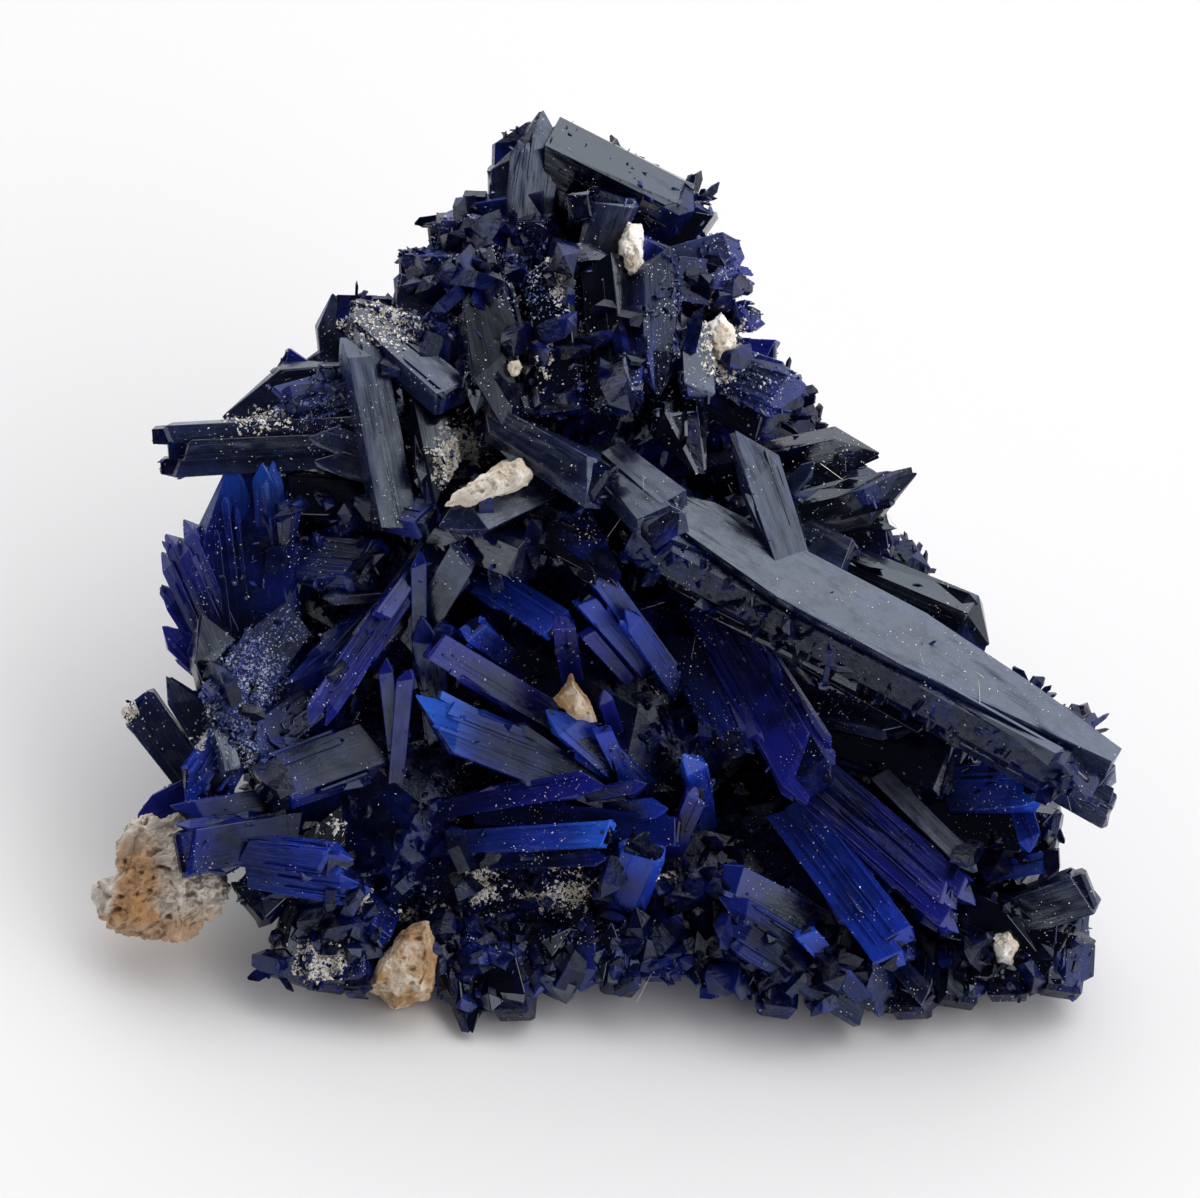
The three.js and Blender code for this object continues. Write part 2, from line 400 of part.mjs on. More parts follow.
// Builds the row of short crystals that hang over the bottom edge.
function fringe() {
  return FRINGE.flatMap(([u, v, width, end], i) => {
    const foot = onFace([u + FRINGE_SHIFT, v + FRINGE_LENGTH, FRINGE_FOOT]);
    const tip = onFace([u, v, FRINGE_TIP]);
    const roll = i % 2 === 0 ? FRINGE_ROLL : -FRINGE_ROLL;
    return crystal(foot, tip, width, FRINGE_THICKNESS, roll, end, 1);
  });
}

// Builds a rough many-faced lump; place turns a point of the lump into a point of the part.
function lump(middle, radii, roughness, place) {
  const points = [];
  for (let i = 0; i < LUMP_CORNERS; i += 1) {
    const height = 1 - 2 * (i + 0.5) / LUMP_CORNERS;
    const turn = GOLDEN_TURN * (i + between(-CORNER_STRAY, CORNER_STRAY));
    const reach = Math.sqrt(1 - height * height);
    const swell = between(1 - roughness, 1);
    points.push(place([
      middle[0] + radii[0] * swell * reach * Math.cos(turn),
      middle[1] + radii[1] * swell * reach * Math.sin(turn),
      middle[2] + radii[2] * swell * height,
    ]));
  }
  return hull(points);
}

// Builds the mass behind the crystals.
function coreMass() {
  const front = FACE_LUMPS.map(([middle, radii]) => lump(middle, radii, FRONT_ROUGHNESS, onFace));
  const inPart = (p) => new THREE.Vector3(...p);
  const deep = DEEP_LUMPS.map(([middle, radii]) => lump(middle, radii, DEEP_ROUGHNESS, inPart));
  return [...front, ...deep];
}

// Builds the crystals that radiate from the back and the flanks.
function backCrystals() {
  const ends = Object.keys(ENDS);
  return BACK_RINGS.flatMap(([height, right, left, deep, middleY, count, lean]) => {
    const ring = [];
    for (let i = 0; i < count; i += 1) {
      const step = (BACK_TO - BACK_FROM) * (i + between(...BACK_STRAY)) / count;
      const turn = THREE.MathUtils.degToRad(BACK_FROM + step);
      const outward = new THREE.Vector3(Math.cos(turn), Math.sin(turn), 0);
      const root = new THREE.Vector3(0, middleY, height + between(-BACK_HEIGHT_STRAY, BACK_HEIGHT_STRAY));
      root.x += (outward.x > 0 ? right : left) * outward.x;
      root.y += deep * outward.y;
      const growth = outward.clone();
      growth.add(new THREE.Vector3(...BACK_LEAN_STRAY.map((stray) => between(-stray, stray))));
      growth.z += lean;
      growth.normalize();
      const foot = root.clone().addScaledVector(growth, -BACK_ROOT);
      const tip = root.clone().addScaledVector(growth, between(...BACK_REACH));
      const end = ends[Math.floor(between(0, ends.length - 0.01))];
      const width = between(...BACK_WIDTH);
      const thickness = between(...BACK_THICKNESS);
      ring.push(...crystal(foot, tip, width, thickness, between(0, 180), end, 1));
    }
    return ring;
  });
}

// Moves points outward from their middle, for the clearance round a piece of host rock.
function grown(points, distance) {
  const middle = points.reduce((sum, p) => sum.add(p), new THREE.Vector3()).divideScalar(points.length);
  return points.map((p) => p.clone().add(p.clone().sub(middle).setLength(distance)));
}

// Lists the corner points of a chip of host rock.
function chipPoints([outline, back, front, share]) {
  const u = outline.reduce((sum, p) => sum + p[0], 0) / outline.length;
  const v = outline.reduce((sum, p) => sum + p[1], 0) / outline.length;
  return outline.flatMap((p) => [
    onFace([p[0], p[1], back]),
    onFace([p[0], p[1], (back + front) / 2]),
    onFace([u + share * (p[0] - u), v + share * (p[1] - v), front + between(-CHIP_STRAY, CHIP_STRAY)]),
  ]);
}

// Builds the lump of host rock, larger by the given clearance.
function rockLump(clearance) {
  randomState = ROCK_SEED;
  const knobs = LUMP_KNOBS.map(([middle, radii]) => (
    lump(middle, radii.map((r) => r + clearance), ROCK_ROUGHNESS, onFace)
  ));
  return wasm.Manifold.union(knobs);
}

// Cuts away everything under the floor that the specimen rests on.
function onFloor(solid) {
  const below = new THREE.BoxGeometry(FLOOR_SPAN, FLOOR_SPAN, FLOOR_DEPTH);
  below.translate(0, 0, -FLOOR_DEPTH / 2);
  return solid.subtract(solidFrom(below));
}

// Keeps the main body and drops crumbs that a cut has set free.
function mainBody(solid) {
  return solid.decompose().sort((a, b) => b.volume() - a.volume())[0];
}

// Makes a named, faceted mesh from a solid.
function meshFrom(name, solid, looks) {
  const { vertProperties, triVerts, numProp } = solid.getMesh();
  const positions = [];
  for (let i = 0; i < vertProperties.length; i += numProp) {
    positions.push(vertProperties[i], vertProperties[i + 1], vertProperties[i + 2]);
  }
  const geometry = new THREE.BufferGeometry();
  geometry.setAttribute('position', new THREE.Float32BufferAttribute(positions, 3));
  geometry.setIndex(Array.from(triVerts));
  const material = new THREE.MeshStandardMaterial({ ...looks, metalness: 0, flatShading: true });
  const mesh = new THREE.Mesh(geometry, material);
  mesh.name = name;
  return mesh;
}

// Joins the azurite into one body with pockets for the host rock.
function azurite(pockets) {
  const grownTogether = wasm.Manifold.union([
    ...coreMass(),
    ...backCrystals(),
    ...zone(CROWN),
    ...zone(MOUND),
    ...zone(LEFT),
    ...zone(CENTRE),
    ...zone(RIGHT),
    ...fringe(),
  ]);
  const pocketed = grownTogether.subtract(wasm.Manifold.union(pockets));
  return mainBody(onFloor(pocketed).asOriginal().simplify(CLEAN_UP));
}

const group = new THREE.Group();
const rockMeshes = [];
const pockets = [rockLump(ROCK_GAP)];
const lumpBody = mainBody(rockLump(0).asOriginal().simplify(CLEAN_UP));
rockMeshes.push(meshFrom('matrix_lump', lumpBody, BUFF_ROCK));
for (const [name, rock] of Object.entries(ROCKS)) {
  const points = chipPoints(rock);
  pockets.push(hull(grown(points, ROCK_GAP)));
  rockMeshes.push(meshFrom(name, hull(points), PALE_ROCK));
}
group.add(meshFrom('azurite_crystals', azurite(pockets), AZURITE), ...rockMeshes);

export default group;
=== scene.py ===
"""Azurite specimen: the finish of the crystals, the small second growth and the host rock.

Crystals are placed on the display face in millimetres: u to the right, v up along the leaning face and w
out of it.
"""

import json
import math
import random

import bmesh
import bpy
from mathutils import Matrix, Vector, noise
from mathutils.bvhtree import BVHTree

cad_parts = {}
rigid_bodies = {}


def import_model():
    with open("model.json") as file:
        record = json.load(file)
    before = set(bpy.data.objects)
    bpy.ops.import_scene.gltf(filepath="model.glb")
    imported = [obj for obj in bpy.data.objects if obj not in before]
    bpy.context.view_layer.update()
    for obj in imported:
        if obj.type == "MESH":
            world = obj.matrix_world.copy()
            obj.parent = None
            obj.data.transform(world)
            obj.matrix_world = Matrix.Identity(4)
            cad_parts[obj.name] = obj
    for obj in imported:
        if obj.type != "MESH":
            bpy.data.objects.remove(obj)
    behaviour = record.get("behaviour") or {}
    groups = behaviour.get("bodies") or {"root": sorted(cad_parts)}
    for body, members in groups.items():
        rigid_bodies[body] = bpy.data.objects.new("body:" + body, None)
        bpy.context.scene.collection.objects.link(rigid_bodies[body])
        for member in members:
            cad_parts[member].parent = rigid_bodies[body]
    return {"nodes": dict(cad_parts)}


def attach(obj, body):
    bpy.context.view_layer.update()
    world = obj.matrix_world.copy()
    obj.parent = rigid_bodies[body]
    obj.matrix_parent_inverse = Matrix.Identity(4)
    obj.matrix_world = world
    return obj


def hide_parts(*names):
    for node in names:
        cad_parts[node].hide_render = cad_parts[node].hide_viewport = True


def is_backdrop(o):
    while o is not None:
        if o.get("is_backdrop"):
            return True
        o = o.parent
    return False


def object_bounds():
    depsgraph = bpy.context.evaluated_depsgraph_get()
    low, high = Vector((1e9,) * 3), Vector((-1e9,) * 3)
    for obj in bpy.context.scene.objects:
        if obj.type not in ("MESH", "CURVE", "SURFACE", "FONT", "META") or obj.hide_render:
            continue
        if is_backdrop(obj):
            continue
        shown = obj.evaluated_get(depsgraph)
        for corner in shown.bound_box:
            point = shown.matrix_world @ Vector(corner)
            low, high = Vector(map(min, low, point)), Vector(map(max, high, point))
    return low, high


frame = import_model()
solid_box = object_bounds()

MM = 0.001
SEED = 11

# Stance of the display face
FACE_SLOPE = math.radians(35)
FACE_MIDDLE = Vector((-0.27, -2.06, 15.0))
FACE_TURN = Matrix.Rotation(FACE_SLOPE, 3, "X")
FACE_OUT = FACE_TURN @ Vector((0, 0, 1))

# Camera, looking straight at the display face, in metres but for its sensor
CAMERA_DISTANCE = 1.5
CAMERA_REACH = 10.0
FRAME_WIDTH = 0.072
SENSOR_WIDTH = 36.0

# The room: white but for a dark side, with a soft light and a wide floor
SKY_STRENGTH = 2.2
SKY_WHITE = (0.985, 0.985, 1.0, 1.0)
SKY_DARK = (0.015, 0.015, 0.02, 1.0)
DARK_SIDE = Vector((-0.42, -0.55, 0.72))
DARK_EDGE = (0.2, 0.76)
DARK_RISE = (0.0, 0.25)
LIGHT_PLACE = Vector((0.42, 0.4, 0.75))
LIGHT_TARGET = Vector((0, 0, 0.01))
LIGHT_SIZE = 0.6
LIGHT_POWER = 1.3
LIGHT_COLOUR = (1.0, 0.99, 0.97)
FLOOR_HALF = 1.2

# Optics, and the colour of dust
AZURITE_IOR = 1.76
AZURITE_TINT = (0.76, 0.86, 1.0, 1.0)
ROCK_IOR = 1.5
FLOOR_IOR = 1.45
DUST_COLOUR = (0.62, 0.63, 0.68, 1.0)

# Shared crystal habit, in millimetres or shares
BEVEL_FROM = 3.0
EDGE_BEVEL = 0.25
BEVEL_LIMIT = 0.22
SLICE_OVERLAP = 1.3
SLICE_STAGGER = 0.55
STAGGER_STEP = 0.618
STAGGER_START = 0.1
SLICE_RAISE = 0.12
WORN_EDGE = 0.035
WORN_SHARE = 0.06
SKIN_OVER_SOLID = 0.03
MASS_SHRINK = 0.25
SLANT = (0.1, 0.45)
NARROW_FOOT = (0.72, 1.0)
END_LIMIT = 0.8
STEPPED_END = 0.5

# Faults in the form of a crystal: two in shares of its width, one of its half thickness
FAULT_ASIDE = (-0.05, 0.05)
FAULT_ALONG = (-0.08, 0.04)
FAULT_RISE = (0.85, 1.05)

# Skin that small things grow on, in millimetres; slate faces carry a smaller share of patches
SKIN_FACE = 1.1
SMOOTH_SHARE = 0.35
SKIN_CUTS = 5
SKIN_LIFT = 0.02
APART = 0.5
BARE_FOOT = 2.2

# Clumps of small crystals and of dust, and ragged edges of patches, for each millimetre or in shares
GROWTH_CLUMPS = 0.3
GROWTH_OVER = 0.1
DUST_CLUMPS = 0.28
DUST_SHIFT = Vector((7, 0, 0))
DUST_OVER = 0.05
LEAST_DUST = 0.02
DUST_FACING = 0.25
PATCH_CLUMPS = 1.3
PATCH_RAGGED = 0.5
PATCH_REACH = 1.5
PATCH_FACING = 0.2

# Relief of the ridges on a crystal's face, and splinters along it for each millimetre, for each finish
RIDGE_RELIEF = {"black": 0.7, "slate": 0.4, "indigo": 2.2, "cobalt": 2.6, "violet": 2.6, "dusty": 2.4}
SPLINTERS = {"black": 0.45, "slate": 0.12, "indigo": 0.6, "cobalt": 0.5, "violet": 0.7, "dusty": 0.9}

# A ridge on a crystal's face, in shares of the crystal's length, width or thickness; it takes no crystal as
# thicker than RIDGE_THICKEST, in millimetres
RIDGE_ASIDE = (-0.44, 0.44)
RIDGE_HALF_WIDTH = (0.02, 0.07)
RIDGE_START = (0.0, 0.55)
RIDGE_LENGTH = (0.2, 0.75)
RIDGE_STOP = (0.9, 1.0)
RIDGE_RISE = (0.015, 0.05)
RIDGE_THICKEST = 1.6
RIDGE_ROOT = 0.3
RIDGE_END_RISE = 0.46
RIDGE_EDGE = 0.4
RIDGE_BEVEL = 0.4

# A splinter along a crystal, in the same shares; the least width of a crystal that has them, their own least
# width and their bevel are in millimetres
SPLINTER_FROM = 1.1
SPLINTER_START = (0.05, 0.5)
SPLINTER_LENGTH = (0.25, 0.6)
SPLINTER_STOP = 0.96
SPLINTER_FOOT_ASIDE = (0.1, 0.42)
SPLINTER_TIP_ASIDE = (0.3, 0.56)
SPLINTER_LIFT = (0.1, 0.5)
SPLINTER_ROLL = (-50, 50)
SPLINTER_WIDTH = (0.12, 0.3)
SPLINTER_LEAST = 0.3
SPLINTER_THICKNESS = (0.4, 0.8)
SPLINTER_BEVEL = 0.01
SPLINTER_ENDS = ("point", "left", "right", "square")

# How thickly small crystals grow on each finish
SECOND_GROWTH = {"black": 0.12, "slate": 0.01, "indigo": 0.1, "cobalt": 0.08, "violet": 0.05, "dusty": 1.0}

# Small things strewn on the crystals: how many on a square millimetre, smallest, largest, tilt and seed
STREWN = {
    "druse": (1.5, 0.4, 1.5, 55, 3),
    "second_growth": (14, 0.12, 0.55, 80, 4),
    "dust_specks": (12.0, 0.03, 0.13, 180, 5),
    "fibres": (0.05, 0.7, 2.2, 85, 9),
    "pale_crust": (190, 0.06, 0.3, 180, 6),
    "frost": (110, 0.04, 0.22, 180, 7),
    "thicket": (0.7, 0.5, 2.0, 65, 8),
}

# Patches of pale crust and dust: middle on the face, half width, half height, thickness of cover
CRUSTS = [
    (-8.5, 8.4, 1.2, 1.4, 1.0),
    (-20.4, 10.7, 1.7, 0.6, 0.7),
    (-13.0, 16.4, 1.8, 1.1, 0.7),
    (7.1, 15.3, 1.2, 1.7, 1.0),
    (-16.6, -21.7, 1.2, 0.9, 1.0),
    (-10.6, -19.1, 1.0, 0.7, 0.9),
    (-7.2, -17.1, 1.0, 0.9, 0.6),
    (-2.6, -17.4, 1.9, 0.9, 0.7),
    (4.1, -17.2, 0.5, 0.9, 0.6),
    (-2.4, 19.2, 0.4, 1.3, 0.9),
    (-3.3, 14.5, 0.4, 0.8, 0.9),
    (-23.8, -8.5, 0.4, 0.4, 1.0),
    (-28.3, -6.8, 0.5, 0.5, 0.8),
    (-15.7, -13.6, 0.4, 0.3, 0.8),
    (-14.2, -18.3, 0.5, 0.4, 0.8),
]

# Patches of pale blue frost of the smallest crystals, in the same form
FROSTS = [
    (-21.0, -4.5, 1.9, 1.9, 0.9),
    (-22.4, -7.6, 1.4, 1.6, 0.7),
    (-21.0, -9.0, 1.2, 1.0, 0.4),
    (-18.6, -1.6, 1.6, 1.0, 0.3),
    (-8.0, 20.6, 4.0, 2.4, 0.25),
    (-4.0, 18.8, 2.4, 1.6, 0.4),
    (7.4, 18.0, 2.4, 2.6, 0.25),
    (9.0, 13.4, 2.6, 1.2, 0.25),
    (2.0, 12.4, 2.4, 1.6, 0.15),
    (-16.0, 10.8, 2.4, 1.6, 0.2),
    (-8.0, -19.0, 7.0, 2.4, 0.08),
]

# Patches where stout tablets crowd the face, in the same form
THICKETS = [
    (0.2, 15.2, 5.0, 4.0, 0.45),
    (-8.0, 20.6, 4.4, 2.6, 1.0),
    (-11.6, 14.6, 3.0, 2.4, 0.6),
    (7.4, 17.6, 2.6, 3.4, 0.9),
    (-20.4, -6.0, 3.4, 4.0, 0.4),
    (-17.0, 4.0, 3.4, 2.6, 0.5),
    (-10.0, -19.6, 9.0, 3.6, 0.8),
    (3.0, -20.0, 6.0, 3.0, 0.8),
    (24.4, -18.6, 4.6, 4.4, 0.6),
    (-5.0, 4.0, 4.0, 1.6, 0.4),
    (12.0, -22.6, 6.0, 2.0, 0.7),
]

# Ends of a crystal: length of the end in widths, lean to the left, flat share of the width, thickness share
ENDS = {
    "point": (0.8, 0, 0.16, 0),
    "left": (0.95, 0.85, 0.2, 0),
    "right": (0.95, -0.85, 0.2, 0),
    "cut_left": (0.42, 0.8, 0.3, 0),
    "cut_right": (0.42, -0.8, 0.3, 0),
    "square": (0.14, 0, 0.78, 0.7),
    "round": (0.42, 0, 0.5, 0),
    "lens": (0.5, 0, 0.3, 0),
}

# Half width of a crystal that narrows to both ends, in shares of its length and of its width
LENS = [(0.0, 0.3), (0.1, 0.7), (0.3, 0.97), (0.55, 0.97), (0.8, 0.68), (1.0, 0.25)]

# Crystals: name, foot, tip, width, thickness, roll to the left in degrees, end, slices, finish and number of
# ridges on the face
CROWN = [
    ("crown_tablet", (-5.1, 20.0, -1.5), (-4.9, 28.9, -2.4), 3.6, 1.5, 10, "cut_right", 1, "slate", 1),
    ("crown_spike", (-4.6, 21.0, -0.8), (-3.5, 29.5, -1.8), 2.6, 1.4, -20, "point", 1, "slate", 4),
    ("crown_block", (-2.5, 26.1, -3.0), (5.2, 22.1, -3.0), 5.4, 4.5, -22, "square", 1, "black", 2),
    ("crown_corner", (4.4, 21.0, -2.2), (6.2, 23.8, -2.4), 2.2, 1.9, 15, "square", 1, "black", 0),
    ("crown_cube", (-1.3, 23.4, -2.0), (-1.2, 23.5, 1.4), 1.7, 1.6, 35, "square", 1, "black", 0),
    ("crown_shield", (-0.6, 19.8, -0.2), (1.0, 24.4, 0.4), 3.0, 1.3, -10, "square", 1, "slate", 0),
    ("crown_step", (-2.2, 20.3, 0.2), (0.9, 20.9, 1.3), 1.4, 1.2, 30, "right", 1, "slate", 1),
    ("crown_ledge", (1.0, 17.9, 0.6), (4.2, 18.6, 2.2), 2.0, 1.6, 35, "square", 1, "slate", 0),
    ("crown_chip_tablet", (2.6, 19.0, 0.4), (3.6, 21.6, 0.6), 1.8, 1.2, -20, "square", 1, "violet", 0),
    ("lobe_top", (4.4, 20.2, -0.4), (8.7, 21.0, -1.4), 2.3, 1.5, 0, "round", 1, "dusty", 3),
    ("lobe_middle", (4.6, 19.2, 0.0), (9.3, 18.6, -1.6), 2.8, 1.6, 5, "point", 1, "violet", 2),
    ("lobe_small", (4.0, 16.6, -2.6), (9.9, 17.0, -1.6), 1.6, 1.2, 0, "round", 1, "violet", 1),
    ("lobe_behind", (4.0, 15.0, -2.8), (10.8, 14.7, -2.0), 1.8, 1.3, 0, "square", 1, "violet", 1),
    ("tongue", (5.4, 14.6, 0.6), (12.2, 11.9, 0.8), 3.2, 1.4, 10, "round", 1, "dusty", 3),
    ("tongue_under", (5.0, 13.0, -0.6), (10.2, 10.3, -0.8), 2.2, 1.8, 0, "square", 1, "black", 2),
    ("shoulder_high", (-3.4, 23.6, -1.4), (-8.2, 23.0, -2.8), 2.0, 1.9, 15, "square", 1, "dusty", 2),
    ("shoulder_upper", (-3.6, 22.0, -0.6), (-10.3, 21.8, -2.6), 2.6, 2.2, 20, "square", 1, "dusty", 3),
    ("shoulder_middle", (-5.0, 19.6, 0.4), (-12.1, 19.8, -1.8), 2.2, 2.0, 10, "square", 1, "dusty", 2),
    ("shoulder_tablet", (-8.0, 17.4, 0.8), (-12.4, 18.4, -0.8), 2.3, 1.5, 0, "square", 1, "slate", 1),
    ("shoulder_hex", (-14.6, 10.0, -3.0), (-14.6, 18.5, -2.2), 5.2, 1.8, 10, "round", 1, "slate", 1),
]

MOUND = [
    ("prow", (-7.4, 19.4, 1.4), (-5.2, 9.6, 4.8), 4.4, 2.6, 8, "point", 1, "black", 2),
    ("black_slab", (-3.0, 19.4, 1.8), (-2.2, 10.8, 4.6), 3.6, 2.6, -10, "square", 1, "black", 1),
    ("mound_block_left", (0.2, 19.4, 1.4), (1.0, 11.2, 4.6), 3.4, 2.8, -15, "square", 1, "black", 2),
    ("mound_block_right", (3.2, 19.4, 1.4), (3.5, 12.0, 4.2), 3.2, 2.6, 12, "point", 1, "dusty", 2),
    ("mound_slat", (5.5, 16.2, 2.4), (5.8, 11.8, 3.8), 1.9, 1.2, 25, "square", 1, "slate", 2),
    ("mound_foot", (4.6, 12.6, 0.6), (4.8, 7.4, 4.6), 3.6, 2.8, 10, "left", 1, "black", 2),
    ("saddle_prism", (-6.0, 10.4, 3.6), (0.5, 6.5, 6.4), 3.0, 2.4, 8, "square", 1, "slate", 0),
    ("knuckle", (0.2, 8.4, 3.0), (4.1, 3.9, 7.4), 3.2, 2.7, 10, "square", 1, "slate", 1),
    ("knuckle_ridge", (0.8, 8.6, 4.2), (4.7, 5.4, 7.0), 1.7, 1.6, 25, "square", 1, "slate", 0),
    ("chip_bearer", (-3.6, 6.6, 3.0), (-9.7, 4.2, 5.6), 2.6, 1.8, -15, "point", 1, "slate", 0),
    ("overhang_left", (-9.0, 4.2, 1.2), (-4.0, 2.2, 4.4), 3.4, 2.6, -20, "square", 1, "black", 1),
    ("overhang_right", (-4.4, 5.4, 2.0), (1.8, 2.4, 5.4), 4.0, 3.0, -15, "right", 1, "black", 2),
    ("pillar", (-12.3, 4.4, 2.6), (-14.7, 16.8, 1.8), 2.2, 1.8, -20, "left", 2, "slate", 3),
    ("pillar_wing", (-14.4, 16.6, 0.8), (-8.6, 11.8, 3.8), 2.3, 2.0, 35, "square", 1, "slate", 2),
    ("roof", (-14.4, 16.6, 0.0), (-8.0, 14.8, 2.2), 2.9, 1.9, -10, "square", 1, "dusty", 2),
    ("hollow_post", (-10.6, 13.0, 1.0), (-9.2, 5.6, 3.6), 3.0, 2.0, 15, "right", 1, "black", 2),
    ("druse_ledge", (-14.2, 5.4, 1.4), (-9.8, 4.6, 3.4), 2.0, 1.6, 40, "square", 1, "dusty", 1),
]

LEFT = [
    ("upper_plate", (-13.6, 12.7, -0.8), (-22.7, 11.9, -1.6), 3.9, 1.8, 0, "left", 1, "slate", 3),
    ("purple_flake", (-15.6, 12.2, -1.4), (-19.3, 14.5, -1.6), 1.6, 1.0, 0, "square", 1, "violet", 0),
    ("left_blade", (-13.6, 9.6, 1.4), (-27.1, 8.9, -0.6), 2.8, 1.8, 8, "left", 3, "slate", 2),
    ("left_druse_block", (-13.6, 12.6, 0.6), (-19.6, 10.7, 1.0), 3.6, 2.2, 15, "point", 1, "dusty", 3),
    ("small_comb", (-13.4, 8.2, 1.8), (-17.8, 9.5, 2.0), 2.4, 1.0, 10, "left", 2, "slate", 3),
    ("fan_blade", (-20.6, -2.6, -0.6), (-21.9, 8.6, 0.8), 5.8, 1.8, 12, "point", 1, "indigo", 4),
    ("hollow_tablet", (-13.2, 6.0, -0.4), (-19.4, 6.2, 0.4), 3.2, 1.6, 0, "square", 1, "black", 1),
    ("comb_upper", (-22.6, -2.4, -1.0), (-25.8, 4.7, -0.6), 2.8, 1.4, 25, "left", 4, "violet", 1),
    ("comb_lower", (-22.6, -3.8, -1.4), (-26.2, 2.0, -1.4), 1.9, 1.2, 10, "left", 2, "violet", 2),
    ("comb_third", (-22.4, -5.6, -1.0), (-26.3, -1.5, -1.4), 1.6, 1.1, 0, "point", 1, "violet", 2),
    ("left_dark_block", (-22.0, -8.0, -0.6), (-24.0, -0.8, 0.6), 2.7, 2.1, -20, "point", 1, "black", 0),
    ("druse_panel", (-18.6, -1.6, 0.0), (-22.8, -7.4, 1.2), 3.6, 2.2, 10, "square", 1, "dusty", 3),
    ("outer_plate", (-23.4, -12.2, -1.8), (-28.1, -5.9, -1.8), 2.4, 1.3, 10, "square", 1, "slate", 2),
    ("inner_plate", (-22.8, -9.8, -1.2), (-25.9, -4.5, -1.2), 1.8, 1.1, 0, "point", 1, "slate", 1),
    ("blue_fan", (-21.6, -7.8, -0.2), (-24.9, -12.7, 0.6), 2.8, 1.5, 10, "left", 2, "cobalt", 4),
    ("step_prism", (-23.0, -7.2, 0.6), (-22.0, -10.6, 1.8), 1.1, 1.0, 20, "square", 1, "slate", 1),
    ("outer_flake", (-22.6, -10.6, -1.8), (-28.0, -13.2, -1.4), 1.7, 1.0, 0, "point", 1, "violet", 1),
    ("lump_cover", (-18.6, -14.0, 0.6), (-25.5, -15.3, 2.6), 3.2, 1.2, 0, "square", 1, "indigo", 2),
    ("lump_cover_upper", (-19.4, -12.0, 0.0), (-25.8, -13.0, 2.0), 1.5, 0.9, 0, "right", 1, "indigo", 2),
    ("blue_cushion", (-20.8, -15.6, 1.2), (-13.4, -16.7, 2.6), 3.0, 1.9, -15, "point", 2, "cobalt", 5),
    ("corner_tablet", (-16.6, -15.0, -1.4), (-18.7, -23.1, 0.0), 3.4, 2.0, 20, "square", 1, "black", 2),
    ("corner_dark", (-16.0, -14.0, -1.6), (-21.3, -18.6, 0.2), 3.4, 2.2, 0, "square", 1, "black", 1),
    ("left_gap_block", (-16.4, -5.4, -1.6), (-22.0, -9.6, 0.8), 3.4, 2.4, 10, "square", 1, "dusty", 2),
    ("middle_block", (-19.0, 2.6, -0.8), (-13.2, 1.9, 1.8), 3.6, 2.2, 20, "square", 1, "indigo", 2),
    ("middle_glint", (-12.6, 0.4, 1.0), (-16.8, 0.1, 1.8), 1.0, 0.7, -50, "point", 1, "slate", 0),
    ("middle_lower", (-12.4, -0.6, -0.4), (-18.2, -6.4, 1.6), 3.6, 2.2, 10, "right", 1, "indigo", 2),
    ("middle_low_block", (-14.0, -9.0, -1.0), (-20.4, -11.4, 1.4), 3.8, 2.2, -10, "square", 1, "indigo", 3),
]

